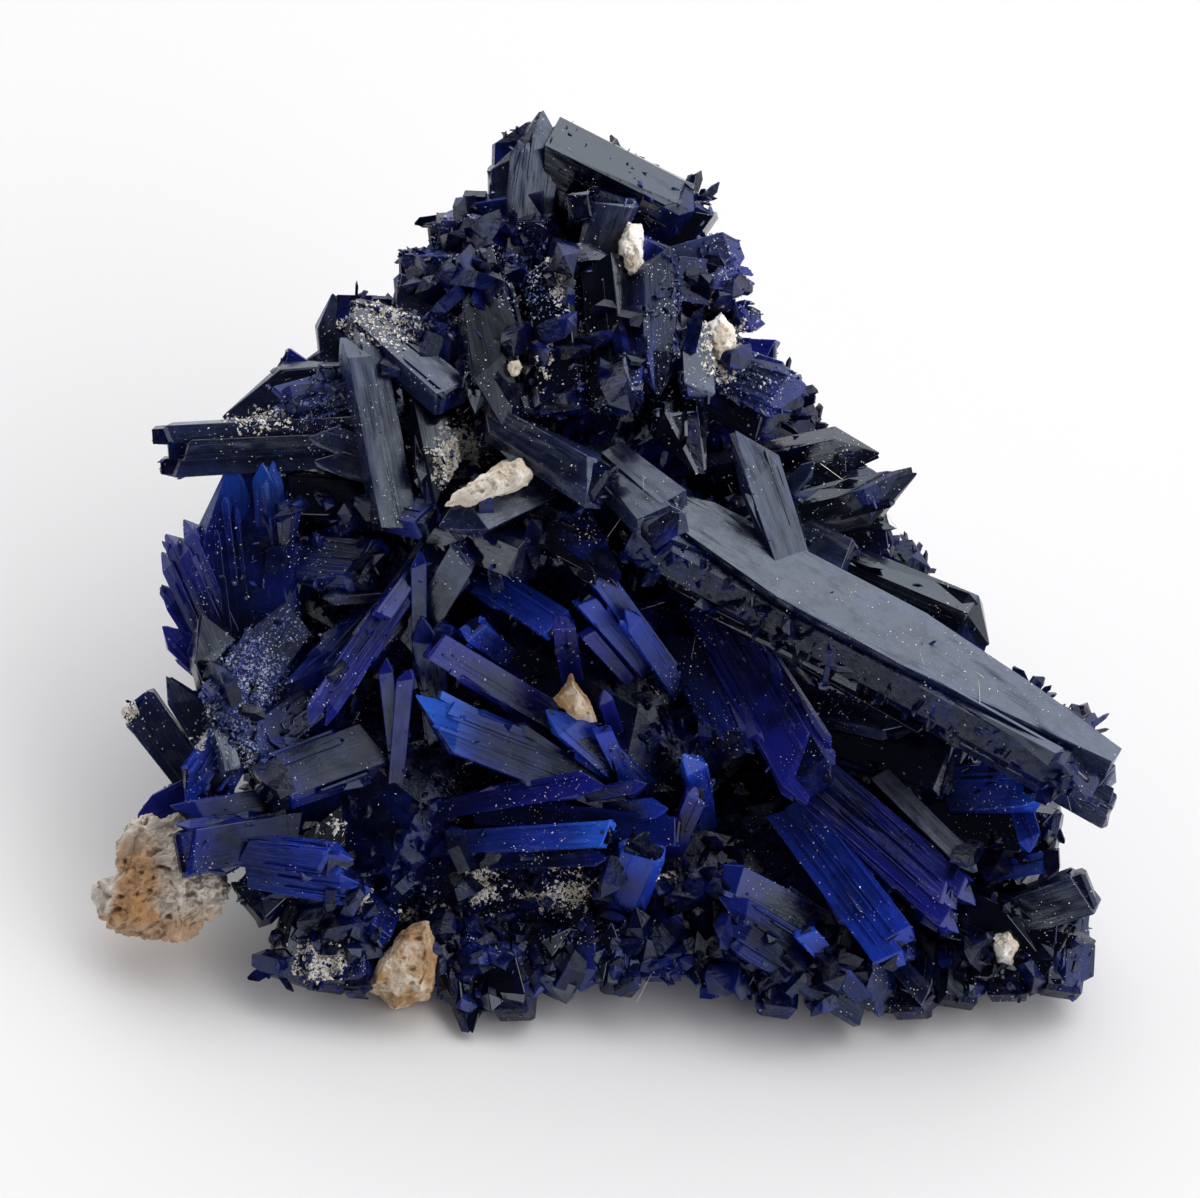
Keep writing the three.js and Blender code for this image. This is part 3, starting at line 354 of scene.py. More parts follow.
CENTRE = [
    ("long_lath", (-9.8, 3.6, 0.8), (-17.4, -7.7, 3.8), 1.5, 0.7, 5, "left", 2, "violet", 3),
    ("lath_mate", (-9.8, 3.6, 0.6), (-13.2, -1.2, 3.6), 1.0, 0.6, 10, "square", 1, "violet", 2),
    ("star_upright", (-10.8, -5.0, -0.6), (-10.9, 3.0, 3.4), 0.9, 0.6, 0, "point", 1, "indigo", 1),
    ("star_grey", (-11.2, -2.6, -0.4), (-7.9, 3.0, 4.0), 1.8, 0.7, 10, "square", 1, "slate", 2),
    ("finger_left", (-12.0, -12.0, -1.6), (-12.9, -3.5, 2.4), 0.9, 0.7, 0, "point", 1, "violet", 1),
    ("finger_right", (-12.4, -12.4, -1.2), (-11.6, -4.1, 3.0), 1.0, 0.7, 0, "round", 1, "violet", 1),
    ("finger_broad", (-9.6, -9.0, -1.8), (-10.6, -1.0, 1.8), 1.7, 1.0, 0, "point", 1, "indigo", 2),
    ("cloud_blade", (-9.0, 2.6, -0.8), (-2.2, -1.8, 2.6), 2.0, 1.1, 10, "square", 1, "cobalt", 3),
    ("cloud_stub", (-6.0, -0.6, -0.4), (-6.4, 2.1, 3.2), 0.9, 0.7, 0, "square", 1, "slate", 0),
    ("cloud_tip", (-1.6, -5.4, -0.8), (-2.3, -0.9, 3.0), 1.4, 0.9, 0, "round", 1, "violet", 2),
    ("parallel_first", (4.2, -4.4, -0.4), (-1.3, 3.0, 4.2), 1.3, 0.9, -10, "round", 1, "cobalt", 2),
    ("parallel_second", (2.8, -4.4, -0.6), (-1.2, 0.2, 3.6), 1.2, 0.8, -10, "square", 1, "cobalt", 1),
    ("parallel_third", (2.2, -5.4, -0.8), (-0.9, -1.9, 3.0), 0.9, 0.7, -5, "square", 1, "violet", 1),
    ("parallel_fourth", (4.6, -5.4, -0.6), (1.4, -0.6, 3.6), 1.2, 0.8, -10, "point", 1, "cobalt", 2),
    ("finger_long", (-1.8, -7.8, -1.2), (-10.2, -2.6, 3.0), 1.8, 1.0, -8, "square", 1, "violet", 2),
    ("knob_blue", (-5.4, -3.6, -1.2), (-8.2, -1.4, 2.4), 1.5, 1.2, 0, "round", 1, "cobalt", 1),
    ("knob_dark", (-7.0, -3.4, -1.2), (-9.7, -1.7, 2.0), 1.1, 1.0, 0, "round", 1, "indigo", 1),
    ("left_pointer", (1.4, -11.8, -1.0), (-11.4, -6.8, 3.0), 2.9, 1.1, -8, "right", 1, "indigo", 3),
    ("chip_blade", (2.2, -11.2, -0.8), (-3.2, -6.4, 3.0), 1.9, 1.1, -12, "point", 1, "cobalt", 3),
    ("chip_blade_mate", (1.8, -11.4, -0.2), (0.0, -7.6, 2.8), 1.1, 0.8, 0, "square", 1, "cobalt", 1),
    ("chip_sliver", (1.2, -8.8, -1.0), (0.1, -5.4, 2.8), 0.9, 0.7, 0, "point", 1, "violet", 1),
    ("shelf_upper", (-9.6, -12.6, -1.0), (0.3, -10.8, 2.6), 1.4, 0.8, 5, "right", 1, "violet", 2),
    ("shelf_small", (-2.0, -12.0, -0.8), (2.9, -11.1, 2.4), 0.9, 0.7, 0, "point", 1, "violet", 1),
    ("shelf_wedge", (0.0, -12.9, -0.8), (4.1, -12.5, 2.6), 1.3, 1.0, 0, "point", 1, "cobalt", 1),
    ("shelf_shadow", (-7.4, -12.6, -0.6), (5.0, -14.0, 1.8), 1.7, 1.0, 0, "square", 1, "indigo", 2),
    ("shelf_bright", (-8.6, -14.6, -0.4), (0.9, -14.0, 3.6), 1.5, 0.8, 10, "square", 1, "cobalt", 1),
    ("shelf_low", (-7.6, -15.8, -0.8), (0.6, -15.4, 2.8), 1.1, 0.7, 0, "point", 1, "indigo", 1),
    ("hook_upper", (6.4, -13.6, -1.6), (5.4, -9.0, 3.0), 1.4, 1.0, -15, "left", 1, "cobalt", 1),
    ("hook_lower", (3.8, -16.4, -1.6), (6.0, -11.2, 2.6), 1.3, 1.0, -15, "round", 1, "violet", 1),
    ("blue_chunk", (1.0, -19.0, -0.8), (2.8, -14.6, 3.4), 3.0, 1.7, 10, "square", 1, "cobalt", 3),
    ("recess_plate", (5.2, -3.0, -1.0), (8.6, -9.6, 1.4), 3.2, 1.6, 0, "round", 1, "indigo", 3),
]

RIGHT = [
    ("great_blade", (3.0, 5.2, 2.7), (30.7, -10.3, 5.3), 4.1, 3.5, 35, "lens", 1, "slate", 7),
    ("great_keel", (4.6, 1.6, 1.8), (25.0, -8.8, 4.0), 3.0, 2.6, -10, "point", 1, "black", 4),
    ("great_blade_tail", (20.0, -6.2, 3.2), (31.2, -12.3, 4.4), 2.6, 2.4, 20, "square", 2, "slate", 4),
    ("upright_blade", (11.6, 1.4, 3.6), (8.5, 10.4, 4.4), 2.5, 1.3, -25, "left", 1, "slate", 3),
    ("beam", (5.6, 7.2, -1.4), (16.7, 9.3, 1.2), 2.4, 2.0, -25, "right", 1, "black", 1),
    ("beam_under", (10.4, 7.2, 0.2), (16.6, 7.7, 0.4), 1.2, 1.0, 0, "point", 1, "slate", 1),
    ("right_prow", (9.4, 4.2, 1.6), (19.2, 6.7, 2.0), 3.4, 2.3, -15, "left", 1, "black", 1),
    ("leaf", (10.6, 6.0, 2.4), (12.9, 8.2, 3.8), 0.9, 0.6, 15, "point", 1, "slate", 0),
    ("fin", (12.0, 2.6, 0.6), (17.6, 4.4, 0.6), 2.3, 1.2, 0, "square", 1, "black", 1),
    ("grey_slab", (9.8, 5.0, 1.6), (15.2, 2.4, 3.0), 2.0, 1.5, 10, "square", 1, "slate", 0),
    ("rail", (10.6, 3.2, 0.6), (23.6, -2.2, 2.8), 3.8, 2.6, -20, "cut_right", 1, "black", 2),
    ("violet_blade", (6.4, 0.4, -0.8), (13.3, -11.7, 3.2), 3.8, 1.6, -15, "round", 1, "violet", 6),
    ("cave_wedge", (11.6, -6.2, 0.2), (19.7, -8.0, 1.8), 1.9, 1.1, 30, "left", 1, "slate", 4),
    ("cave_back", (12.0, -7.4, -0.6), (21.6, -10.4, 0.6), 4.4, 1.8, 10, "square", 1, "black", 2),
    ("sheaf", (11.6, -9.8, 0.8), (22.4, -19.4, 3.0), 3.0, 1.7, 8, "point", 3, "violet", 3),
    ("sheaf_light", (16.8, -10.6, 1.2), (22.6, -16.5, 3.2), 1.2, 0.8, 15, "point", 1, "slate", 3),
    ("blue_sheaf", (11.4, -12.6, 1.0), (18.6, -22.0, 2.8), 2.7, 1.5, -5, "round", 2, "cobalt", 4),
    ("cobalt_chunk", (21.4, -11.4, 0.4), (26.9, -11.2, 2.8), 2.9, 1.8, 10, "round", 1, "cobalt", 3),
    ("cobalt_drop", (24.8, -11.0, 0.4), (26.0, -15.1, 2.4), 1.4, 1.1, 0, "round", 1, "cobalt", 1),
    ("right_dark_block", (19.0, -13.0, -0.6), (27.7, -14.4, 0.4), 4.2, 2.6, 5, "square", 1, "black", 2),
    ("cobalt_dab", (23.6, -16.4, 0.0), (27.4, -15.6, 1.8), 1.3, 1.0, 0, "round", 1, "cobalt", 1),
    ("grey_tablet", (24.6, -19.0, 0.0), (29.7, -17.2, 0.9), 2.7, 1.5, -15, "square", 1, "slate", 0),
    ("corner_round", (23.4, -21.4, -0.4), (29.9, -21.7, 0.2), 4.2, 2.4, 5, "round", 1, "black", 2),
    ("lower_dark", (19.6, -17.6, -0.6), (26.2, -21.4, 1.4), 4.2, 2.4, 0, "point", 1, "black", 2),
    ("bottom_blade", (15.8, -24.2, 0.6), (6.6, -18.4, 2.8), 2.8, 1.3, -10, "point", 2, "indigo", 4),
    ("bottom_dark", (14.0, -20.0, -1.4), (7.2, -16.4, 2.6), 1.9, 1.3, -5, "round", 1, "indigo", 1),
    ("bottom_bright", (15.6, -23.8, 1.2), (12.0, -19.7, 3.2), 1.2, 0.8, 0, "square", 1, "cobalt", 1),
    ("pale_lath", (15.8, -19.6, -0.8), (19.9, -24.2, 2.0), 1.2, 0.9, 0, "square", 1, "slate", 1),
]

# Fringe along the bottom edge: middle of each crystal across, its lowest point, width and end
FRINGE = [
    (-16.4, -23.6, 2.8, "square"),
    (-14.6, -23.9, 1.8, "square"),
    (-8.1, -26.2, 4.0, "point"),
    (-5.2, -25.3, 2.6, "square"),
    (-3.0, -24.2, 2.4, "cut_left"),
    (-0.9, -23.6, 2.2, "cut_right"),
    (1.2, -23.8, 2.4, "square"),
    (3.7, -22.9, 3.0, "square"),
    (6.6, -24.1, 2.4, "point"),
    (8.4, -24.1, 1.8, "point"),
    (10.6, -25.1, 2.4, "square"),
    (13.4, -24.6, 3.0, "square"),
    (16.4, -25.0, 2.6, "cut_left"),
    (18.6, -25.2, 2.6, "square"),
    (21.4, -24.5, 3.0, "square"),
    (24.4, -24.1, 3.0, "square"),
    (27.6, -23.9, 3.2, "square"),
]
FRINGE_LENGTH = 6.4
FRINGE_THICKNESS = 2.0
FRINGE_FOOT = -1.8
FRINGE_TIP = 0.7
FRINGE_SHIFT = (-1.6, 1.8)
FRINGE_ROLL = (-35, 35)
FRINGE_RIDGES = 2
FRINGE_FINISHES = ["black", "black", "dusty", "indigo"]

# Rounded lobes among the fringe, placed from its crystals in millimetres
LOBES = 90
LOBE_SEED = 77
LOBE_ASIDE = (-1.4, 1.4)
LOBE_UP = (0.3, 4.2)
LOBE_OUT = (-0.4, 1.6)
LOBE_FOOT_ASIDE = (-1, 1)
LOBE_FOOT_UP = (1.5, 3.0)
LOBE_DEPTH = 2.4
LOBE_WIDTH = (0.9, 2.1)
LOBE_FLATNESS = 0.7
LOBE_ROLL = (-60, 60)
LOBE_FINISHES = ["black", "black", "indigo", "dusty"]

# Bits of host rock that are tan
TAN_ROCKS = ("matrix_chip_hollow", "matrix_patch_hem")

# Broken skin of the lump and of the smaller bits: size of its faces and depth of its relief, in millimetres
LUMP_SKIN = (0.16, 0.9)
BIT_SKIN = (0.1, 0.4)
BREAKS_PER_MM = 0.7
PITS_PER_MM = 1.9
PIT_FROM = 0.25
PIT_DEPTH = 1.6
BREAK_DEPTH = 0.6
SKIN_SINK = 0.25

FINISHES = ["black", "slate", "indigo", "cobalt", "violet", "dusty"]

# How brightly light comes through the tip of a crystal, where it shows more than the rest of its finish
GLOWING_TIPS = {
    "left_pointer": 1.0,
    "shelf_bright": 0.9,
    "hook_upper": 0.5,
    "chip_blade": 0.6,
    "cobalt_chunk": 0.7,
    "cobalt_dab": 0.9,
    "fan_blade": 0.35,
    "bottom_bright": 0.4,
    "blue_chunk": 0.3,
}


def rgb(red, green, blue):
    return (red, green, blue, 1.0)


def on_face(place):
    """Turns a place on the display face, in millimetres, into a point of the part, in metres."""
    return (FACE_TURN @ Vector(place) + FACE_MIDDLE) * MM


def to_face(point):
    """Turns a point of the part, in metres, into a place on the display face, in millimetres."""
    return FACE_TURN.transposed() @ (point / MM - FACE_MIDDLE)


def new_piece(name, data):
    """Puts a new object in the scene."""
    piece = bpy.data.objects.new(name, data)
    bpy.context.scene.collection.objects.link(piece)
    return piece


class Wire:
    """A socket that carries a value, so that sums on sockets are written as sums."""

    def __init__(self, tree, socket):
        self.tree = tree
        self.socket = socket

    def maths(self, operation, first, second=0.0, clamp=False):
        settings = {"operation": operation, "use_clamp": clamp}
        return self.tree.add("ShaderNodeMath", settings, {0: first, 1: second})

    def __add__(self, other):
        return self.maths("ADD", self, other)

    def __radd__(self, other):
        return self.maths("ADD", other, self)

    def __sub__(self, other):
        return self.maths("SUBTRACT", self, other)

    def __rsub__(self, other):
        return self.maths("SUBTRACT", other, self)

    def __mul__(self, other):
        return self.maths("MULTIPLY", self, other)

    def __rmul__(self, other):
        return self.maths("MULTIPLY", other, self)

    def limited(self):
        return self.maths("ADD", self, 0.0, clamp=True)

    def size(self):
        return self.maths("ABSOLUTE", self)


class Tree:
    """A node tree that nodes are added to, each by its type, its settings and its socket values or links."""

    def __init__(self, tree):
        self.tree = tree

    def add(self, kind, settings=None, sockets=None, output=0):
        node = self.tree.nodes.new(kind)
        for name, value in (settings or {}).items():
            setattr(node, name, value)
        for name, value in (sockets or {}).items():
            self.set(self.find(node.inputs, name), value)
        return Wire(self, self.find(node.outputs, output))

    def find(self, sockets, name):
        if isinstance(name, int):
            return sockets[name]
        for socket in sockets:
            if socket.identifier == name:
                return socket
        return sockets[name]

    def set(self, socket, value):
        if isinstance(value, Wire):
            self.tree.links.new(value.socket, socket)
        else:
            socket.default_value = value

    def mix(self, factor, first, second):
        sockets = {"Factor_Float": factor, "A_Color": first, "B_Color": second}
        return self.add("ShaderNodeMix", {"data_type": "RGBA"}, sockets, "Result_Color")

    def stretch(self, vector, scale):
        return self.add("ShaderNodeVectorMath", {"operation": "MULTIPLY"}, {0: vector, 1: scale})

    def fractal(self, vector, scale, detail=4.0, roughness=0.55, warp=0.0):
        sockets = {
            "Vector": vector,
            "Scale": scale,
            "Detail": detail,
            "Roughness": roughness,
            "Distortion": warp,
        }
        return self.add("ShaderNodeTexNoise", None, sockets)

    def cells(self, vector, scale):
        return self.add("ShaderNodeTexVoronoi", {"feature": "F1"}, {"Vector": vector, "Scale": scale})

    def band(self, value, low, high):
        settings = {"interpolation_type": "SMOOTHSTEP"}
        return self.add("ShaderNodeMapRange", settings, {"Value": value, "From Min": low, "From Max": high})

    def bump(self, height, strength, distance):
        sockets = {"Height": height, "Strength": strength, "Distance": distance}
        return self.add("ShaderNodeBump", None, sockets)

    def place(self):
        return self.add("ShaderNodeTexCoord", None, None, "Object")

    def measure(self, operation, first, second):
        settings = {"operation": operation}
        return self.add("ShaderNodeVectorMath", settings, {0: first, 1: second}, "Value")


def new_material(name):
    """Makes an empty material with a principled shader, and gives the material, its tree and the shader."""
    material = bpy.data.materials.new(name)
    material.use_nodes = True
    shader = material.node_tree.nodes["Principled BSDF"]
    return material, Tree(material.node_tree), shader


def finish_shader(tree, shader, colour, roughness, normal, ior, shine=0.5, tint=(1.0, 1.0, 1.0, 1.0)):
    """Links what varies over the surface to the shader and sets what doesn't."""
    tree.set(shader.inputs["Base Color"], colour)
    tree.set(shader.inputs["Roughness"], roughness)
    tree.set(shader.inputs["Normal"], normal)
    shader.inputs["IOR"].default_value = ior
    shader.inputs["Specular IOR Level"].default_value = shine
    shader.inputs["Specular Tint"].default_value = tint


def dust_mask(tree, place, amount):
    """Gives a mask of fine pale specks, in clumps; amount runs from 0, clean, to 1, covered."""
    specks = tree.cells(place, 5200.0)
    clumps = tree.fractal(place, 420.0, 2.0, 0.6)
    reach = tree.band(clumps, 0.75 - 0.4 * amount, 0.95 - 0.35 * amount) * (0.1 + 0.2 * amount)
    return tree.band(reach - specks, 0.0, 0.05)


def crystal_material(name, dark, bright, spread, roughness, grooves, sway, shine, dust, glow=None):
    """Makes the finish of one kind of crystal.

    dark and bright are its colours, with painted shade darkening it towards each crystal's foot and painted
    light brightening its thin edges and tips; spread is how much of it is bright, roughness its lowest and
    highest roughness, grooves the depth of its lengthwise grooves, sway that of its wide waves, shine how
    strongly it reflects, dust how dusty it is, and glow the colour of the painted light that shines through
    its thin tips.
    """
    material, tree, shader = new_material(name)
    place = tree.place()
    grain = tree.add("ShaderNodeUVMap", {"uv_map": "grain"})
    share = tree.add("ShaderNodeUVMap", {"uv_map": "share"})
    across = tree.add("ShaderNodeSeparateXYZ", None, {0: share}, 0).size()
    along = tree.add("ShaderNodeSeparateXYZ", None, {0: share}, 1)

    grooved = tree.fractal(tree.stretch(grain, (5.0, 0.28, 1.0)), 1.0, 4.0, 0.62)
    fine = tree.fractal(tree.stretch(grain, (26.0, 0.9, 1.0)), 1.0, 2.0, 0.5)
    clouds = tree.fractal(place, 330.0, 3.0, 0.6, 0.4)
    # Thin edges and tips are painted brighter: painted light shining through the thin parts
    thin = tree.band(across, 0.45, 1.0) * 0.35 + tree.band(along, 0.55, 1.0) * 0.4
    mask = tree.band(clouds * 0.75 + grooved * 0.35 + thin * 0.35 - (0.85 - spread), 0.0, 0.38)
    # The bright share fades to dark towards each crystal's foot: painted shade
    colour = tree.mix(mask * (tree.band(along, -0.05, 0.7) * 0.8 + 0.2), dark, bright)
    # Painted glow: the tips of some crystals are painted bright blue, as light shining through them
    if glow:
        lit = tree.add("ShaderNodeAttribute", {"attribute_name": "tip_glow"}, None, "Fac")
        tip = tree.band(along + (grooved - 0.5) * 0.25, 0.62, 1.0) * lit
        colour = tree.mix(tip.limited(), colour, glow)
    dusty = dust_mask(tree, place, dust)
    colour = tree.mix(dusty, colour, DUST_COLOUR)

    pits = tree.band(tree.cells(place, 900.0), 0.06, 0.2)
    smear = tree.fractal(place, 800.0, 3.0, 0.7)
    low, high = roughness
    rough = tree.band(smear * 0.7 + grooved * 0.3, 0.35, 0.7) * (high - low) + low
    rough = (rough + dusty * 0.5).limited()
    waves = tree.fractal(tree.stretch(grain, (0.5, 0.2, 1.0)), 1.0, 2.0, 0.5, 0.3)
    height = grooved * grooves + fine * (0.25 * grooves) + pits * 0.12 + smear * 0.1
    height = height + dusty * 0.5 + waves * sway
    normal = tree.bump(height, 0.55, 0.12 * MM)
    finish_shader(tree, shader, colour, rough, normal, AZURITE_IOR, shine, AZURITE_TINT)
    return material


def black_crystal():
    return crystal_material("azurite_black", rgb(0.001, 0.0014, 0.005), rgb(0.003, 0.005, 0.035), 0.3,
                            (0.04, 0.16), 0.15, 1.5, 0.4, 0.3)


def slate_crystal():
    return crystal_material("azurite_slate", rgb(0.003, 0.0045, 0.018), rgb(0.014, 0.02, 0.07), 0.4,
                            (0.14, 0.4), 0.35, 4.5, 0.5, 0.3)


def indigo_crystal():
    return crystal_material("azurite_indigo", rgb(0.0015, 0.0025, 0.016), rgb(0.005, 0.012, 0.15), 0.45,
                            (0.1, 0.34), 0.5, 2.0, 0.25, 0.25, rgb(0.02, 0.11, 0.62))


def cobalt_crystal():
    return crystal_material("azurite_cobalt", rgb(0.0025, 0.006, 0.06), rgb(0.01, 0.034, 0.36), 0.5,
                            (0.15, 0.42), 0.7, 2.0, 0.22, 0.25, rgb(0.02, 0.11, 0.68))


def violet_crystal():
    return crystal_material("azurite_violet", rgb(0.0016, 0.002, 0.022), rgb(0.009, 0.012, 0.19), 0.5,
                            (0.12, 0.34), 0.65, 2.0, 0.25, 0.25)


def dusty_crystal():
    return crystal_material("azurite_dusty", rgb(0.002, 0.003, 0.024), rgb(0.012, 0.02, 0.17), 0.45,
                            (0.2, 0.5), 0.8, 2.0, 0.25, 0.8)


def mass_material():
    """Makes the finish of the mass behind the crystals, which has no lengthwise grain."""
    material, tree, shader = new_material("azurite_mass")
    place = tree.place()
    clouds = tree.fractal(place, 260.0, 4.0, 0.6, 0.5)
    colour = tree.mix(tree.band(clouds, 0.45, 0.75), rgb(0.0014, 0.002, 0.014), rgb(0.006, 0.012, 0.14))
    dusty = dust_mask(tree, place, 0.2)
    colour = tree.mix(dusty, colour, DUST_COLOUR)
    crust = tree.fractal(place, 1500.0, 3.0, 0.65)
    rough = (tree.band(crust, 0.3, 0.7) * 0.28 + 0.1 + dusty * 0.5).limited()
    normal = tree.bump(crust + clouds * 0.6, 0.5, 0.15 * MM)
    finish_shader(tree, shader, colour, rough, normal, AZURITE_IOR, 0.2, AZURITE_TINT)
    return material


def dusty_growth():
    """Makes the finish of the small second growth: blue grains with pale tips here and there."""
    material, tree, shader = new_material("azurite_small")
    place = tree.place()
    clouds = tree.fractal(place, 700.0, 4.0, 0.6, 0.5)
    colour = tree.mix(tree.band(clouds, 0.4, 0.65), rgb(0.002, 0.003, 0.02), rgb(0.014, 0.024, 0.2))
    frost = tree.band(tree.fractal(place, 2400.0, 3.0, 0.6), 0.62, 0.72)
    colour = tree.mix(frost * 0.7, colour, rgb(0.3, 0.36, 0.62))
    rough = tree.band(clouds, 0.3, 0.7) * 0.3 + 0.12
    normal = tree.bump(clouds, 0.3, 0.1 * MM)
    finish_shader(tree, shader, colour, rough, normal, AZURITE_IOR, 0.35, AZURITE_TINT)
    return material


def frost_material():
    """Makes the finish of the pale blue frost."""
    material, tree, shader = new_material("azurite_frost")
    place = tree.place()
    clouds = tree.fractal(place, 900.0, 3.0, 0.6)
    colour = tree.mix(tree.band(clouds, 0.4, 0.65), rgb(0.05, 0.09, 0.36), rgb(0.6, 0.66, 0.85))
    finish_shader(tree, shader, colour, clouds * 0.3 + 0.15, tree.bump(clouds, 0.3, 0.05 * MM), AZURITE_IOR)
    return material


def buff_rock():
    """Makes the finish of the large lump: grey-white crust, orange-brown stains, brown underside."""
    material, tree, shader = new_material("host_rock_buff")
    place = tree.place()
    coarse = tree.fractal(place, 380.0, 5.0, 0.65, 0.6)
    fine = tree.fractal(place, 1900.0, 5.0, 0.7)
    stain_middle = on_face((-28.0, -16.8, 1.5))
    distance = tree.measure("DISTANCE", place, stain_middle)
    stain = tree.band(2.6 * MM - distance + (coarse - 0.5) * (5.0 * MM), -0.6 * MM, 1.2 * MM)
    face_up = FACE_TURN @ Vector((0, 1, 0))
    low_edge = face_up.dot(on_face((0, -18.4, 0)))
    depth = low_edge - tree.measure("DOT_PRODUCT", place, face_up)
    under = tree.band(depth + (coarse - 0.5) * (4.0 * MM), -0.4 * MM, 1.4 * MM)
    grey = tree.mix(fine, rgb(0.42, 0.36, 0.3), rgb(0.85, 0.78, 0.7))
    brown = tree.mix(coarse, rgb(0.26, 0.12, 0.04), rgb(0.62, 0.36, 0.16))
    colour = tree.mix((stain * 0.9 + under * 0.75).limited(), grey, brown)
    pits = tree.band(tree.fractal(place, 900.0, 4.0, 0.6, 0.8), 0.34, 0.44)
    colour = tree.mix((1 - pits) * 0.55, colour, rgb(0.2, 0.11, 0.05))
    normal = tree.bump(fine + pits * 0.5 + coarse, 0.8, 0.2 * MM)
    finish_shader(tree, shader, colour, fine * 0.2 + 0.75, normal, ROCK_IOR)
    return material


def pale_rock(name, shade, light):
    """Makes the finish of the small bits of host rock, with fine dark pits."""
    material, tree, shader = new_material(name)
    place = tree.place()
    coarse = tree.fractal(place, 520.0, 4.0, 0.6, 0.4)
    fine = tree.fractal(place, 2600.0, 5.0, 0.7)
    pale = tree.mix(tree.band(coarse, 0.4, 0.65), shade, light)
    pits = tree.band(tree.fractal(place, 1600.0, 4.0, 0.6, 0.8), 0.33, 0.42)
    colour = tree.mix((1 - pits) * 0.7, pale, rgb(0.3, 0.24, 0.18))
    colour = tree.mix(tree.band(fine, 0.62, 0.75), colour, rgb(0.4, 0.33, 0.27))
    normal = tree.bump(fine + pits * 0.6, 0.7, 0.12 * MM)
    finish_shader(tree, shader, colour, fine * 0.15 + 0.8, normal, ROCK_IOR)
    return material


def white_rock():
    return pale_rock("host_rock_white", rgb(0.62, 0.53, 0.42), rgb(0.92, 0.89, 0.84))


def tan_rock():
    return pale_rock("host_rock_tan", rgb(0.36, 0.2, 0.08), rgb(0.66, 0.56, 0.44))


def crust_material():
    """Makes the finish of pale crust, dust and fibres."""
    material, tree, shader = new_material("host_rock_crust")
    place = tree.place()
    tone = tree.fractal(place, 1400.0, 4.0, 0.6)
    colour = tree.mix(tree.band(tone, 0.35, 0.65), rgb(0.66, 0.6, 0.5), rgb(0.94, 0.93, 0.9))
    finish_shader(tree, shader, colour, tone * 0.2 + 0.75, tree.bump(tone, 0.4, 0.04 * MM), ROCK_IOR)
    return material


def floor_material():
    """Makes the plain pale floor."""
    material, tree, shader = new_material("floor_pale")
    place = tree.place()
    tone = tree.fractal(place, 9.0, 1.0, 0.5)
    colour = tree.mix(tone, rgb(0.9, 0.895, 0.89), rgb(0.93, 0.928, 0.925))
    finish_shader(tree, shader, colour, tone * 0.1 + 0.7, tree.bump(tone, 0.05, 0.1 * MM), FLOOR_IOR)
    return material


def hull(corners):
    """Makes a working mesh of the convex block round some corners."""
    block = bmesh.new()
    for corner in corners:
        block.verts.new(corner)
    made = bmesh.ops.convex_hull(block, input=block.verts)
    loose = [item for item in made["geom_interior"] if isinstance(item, bmesh.types.BMVert)]
    bmesh.ops.delete(block, geom=loose, context="VERTS")
    return block


class Shell:
    """Gathers closed blocks with their grain, to be made into one mesh."""

    def __init__(self):
        self.points = []
        self.faces = []
        self.grains = []
        self.shares = []
        self.glows = []
        self.finishes = []

    def add(self, corners, ways, foot, spans, finish, glow, bevel, shift):
        """Adds the convex block round the corners.

        ways are along, out and left, and spans are length and width.
        """
        along, out, left = ways
        length, width = spans
        block = hull(corners)
        bmesh.ops.dissolve_limit(block, angle_limit=0.02, verts=block.verts, edges=block.edges)
        bmesh.ops.bevel(block, geom=block.edges, offset=bevel, segments=1, affect="EDGES", clamp_overlap=True)
        bmesh.ops.recalc_face_normals(block, faces=block.faces)
        block.verts.index_update()
        start = len(self.points)
        for vertex in block.verts:
            self.points.append((vertex.co.x, vertex.co.y, max(vertex.co.z, 0.0)))
            self.glows.append(glow)
        for face in block.faces:
            self.faces.append([start + vertex.index for vertex in face.verts])
            self.finishes.append(finish)
            side = left if abs(face.normal.dot(out)) >= abs(face.normal.dot(left)) else out
            for vertex in face.verts:
                reach = vertex.co - foot
                self.grains.append((reach.dot(side) / MM + shift, reach.dot(along) / MM + shift * 1.7))
                self.shares.append((reach.dot(left) / (width / 2), reach.dot(along) / length))
        block.free()

    def build(self, name, materials):
        """Makes one object of all the blocks."""
        mesh = bpy.data.meshes.new(name)
        mesh.from_pydata(self.points, [], self.faces)
        for material in materials:
            mesh.materials.append(material)
        mesh.polygons.foreach_set("material_index", self.finishes)
        for layer, pairs in (("grain", self.grains), ("share", self.shares)):
            values = [value for pair in pairs for value in pair]
            mesh.uv_layers.new(name=layer).data.foreach_set("uv", values)
        mesh.attributes.new("tip_glow", "FLOAT", "POINT").data.foreach_set("value", self.glows)
        mesh.update()
        return new_piece(name, mesh)


def directions(foot, tip, roll):
    """Finds a crystal's own directions: along it, out of its wide face, and to its left."""
    along = (tip - foot).normalized()
    out = (FACE_OUT - along * FACE_OUT.dot(along)).normalized()
    out.rotate(Matrix.Rotation(-math.radians(roll), 3, along))
    return along, out, out.cross(along)


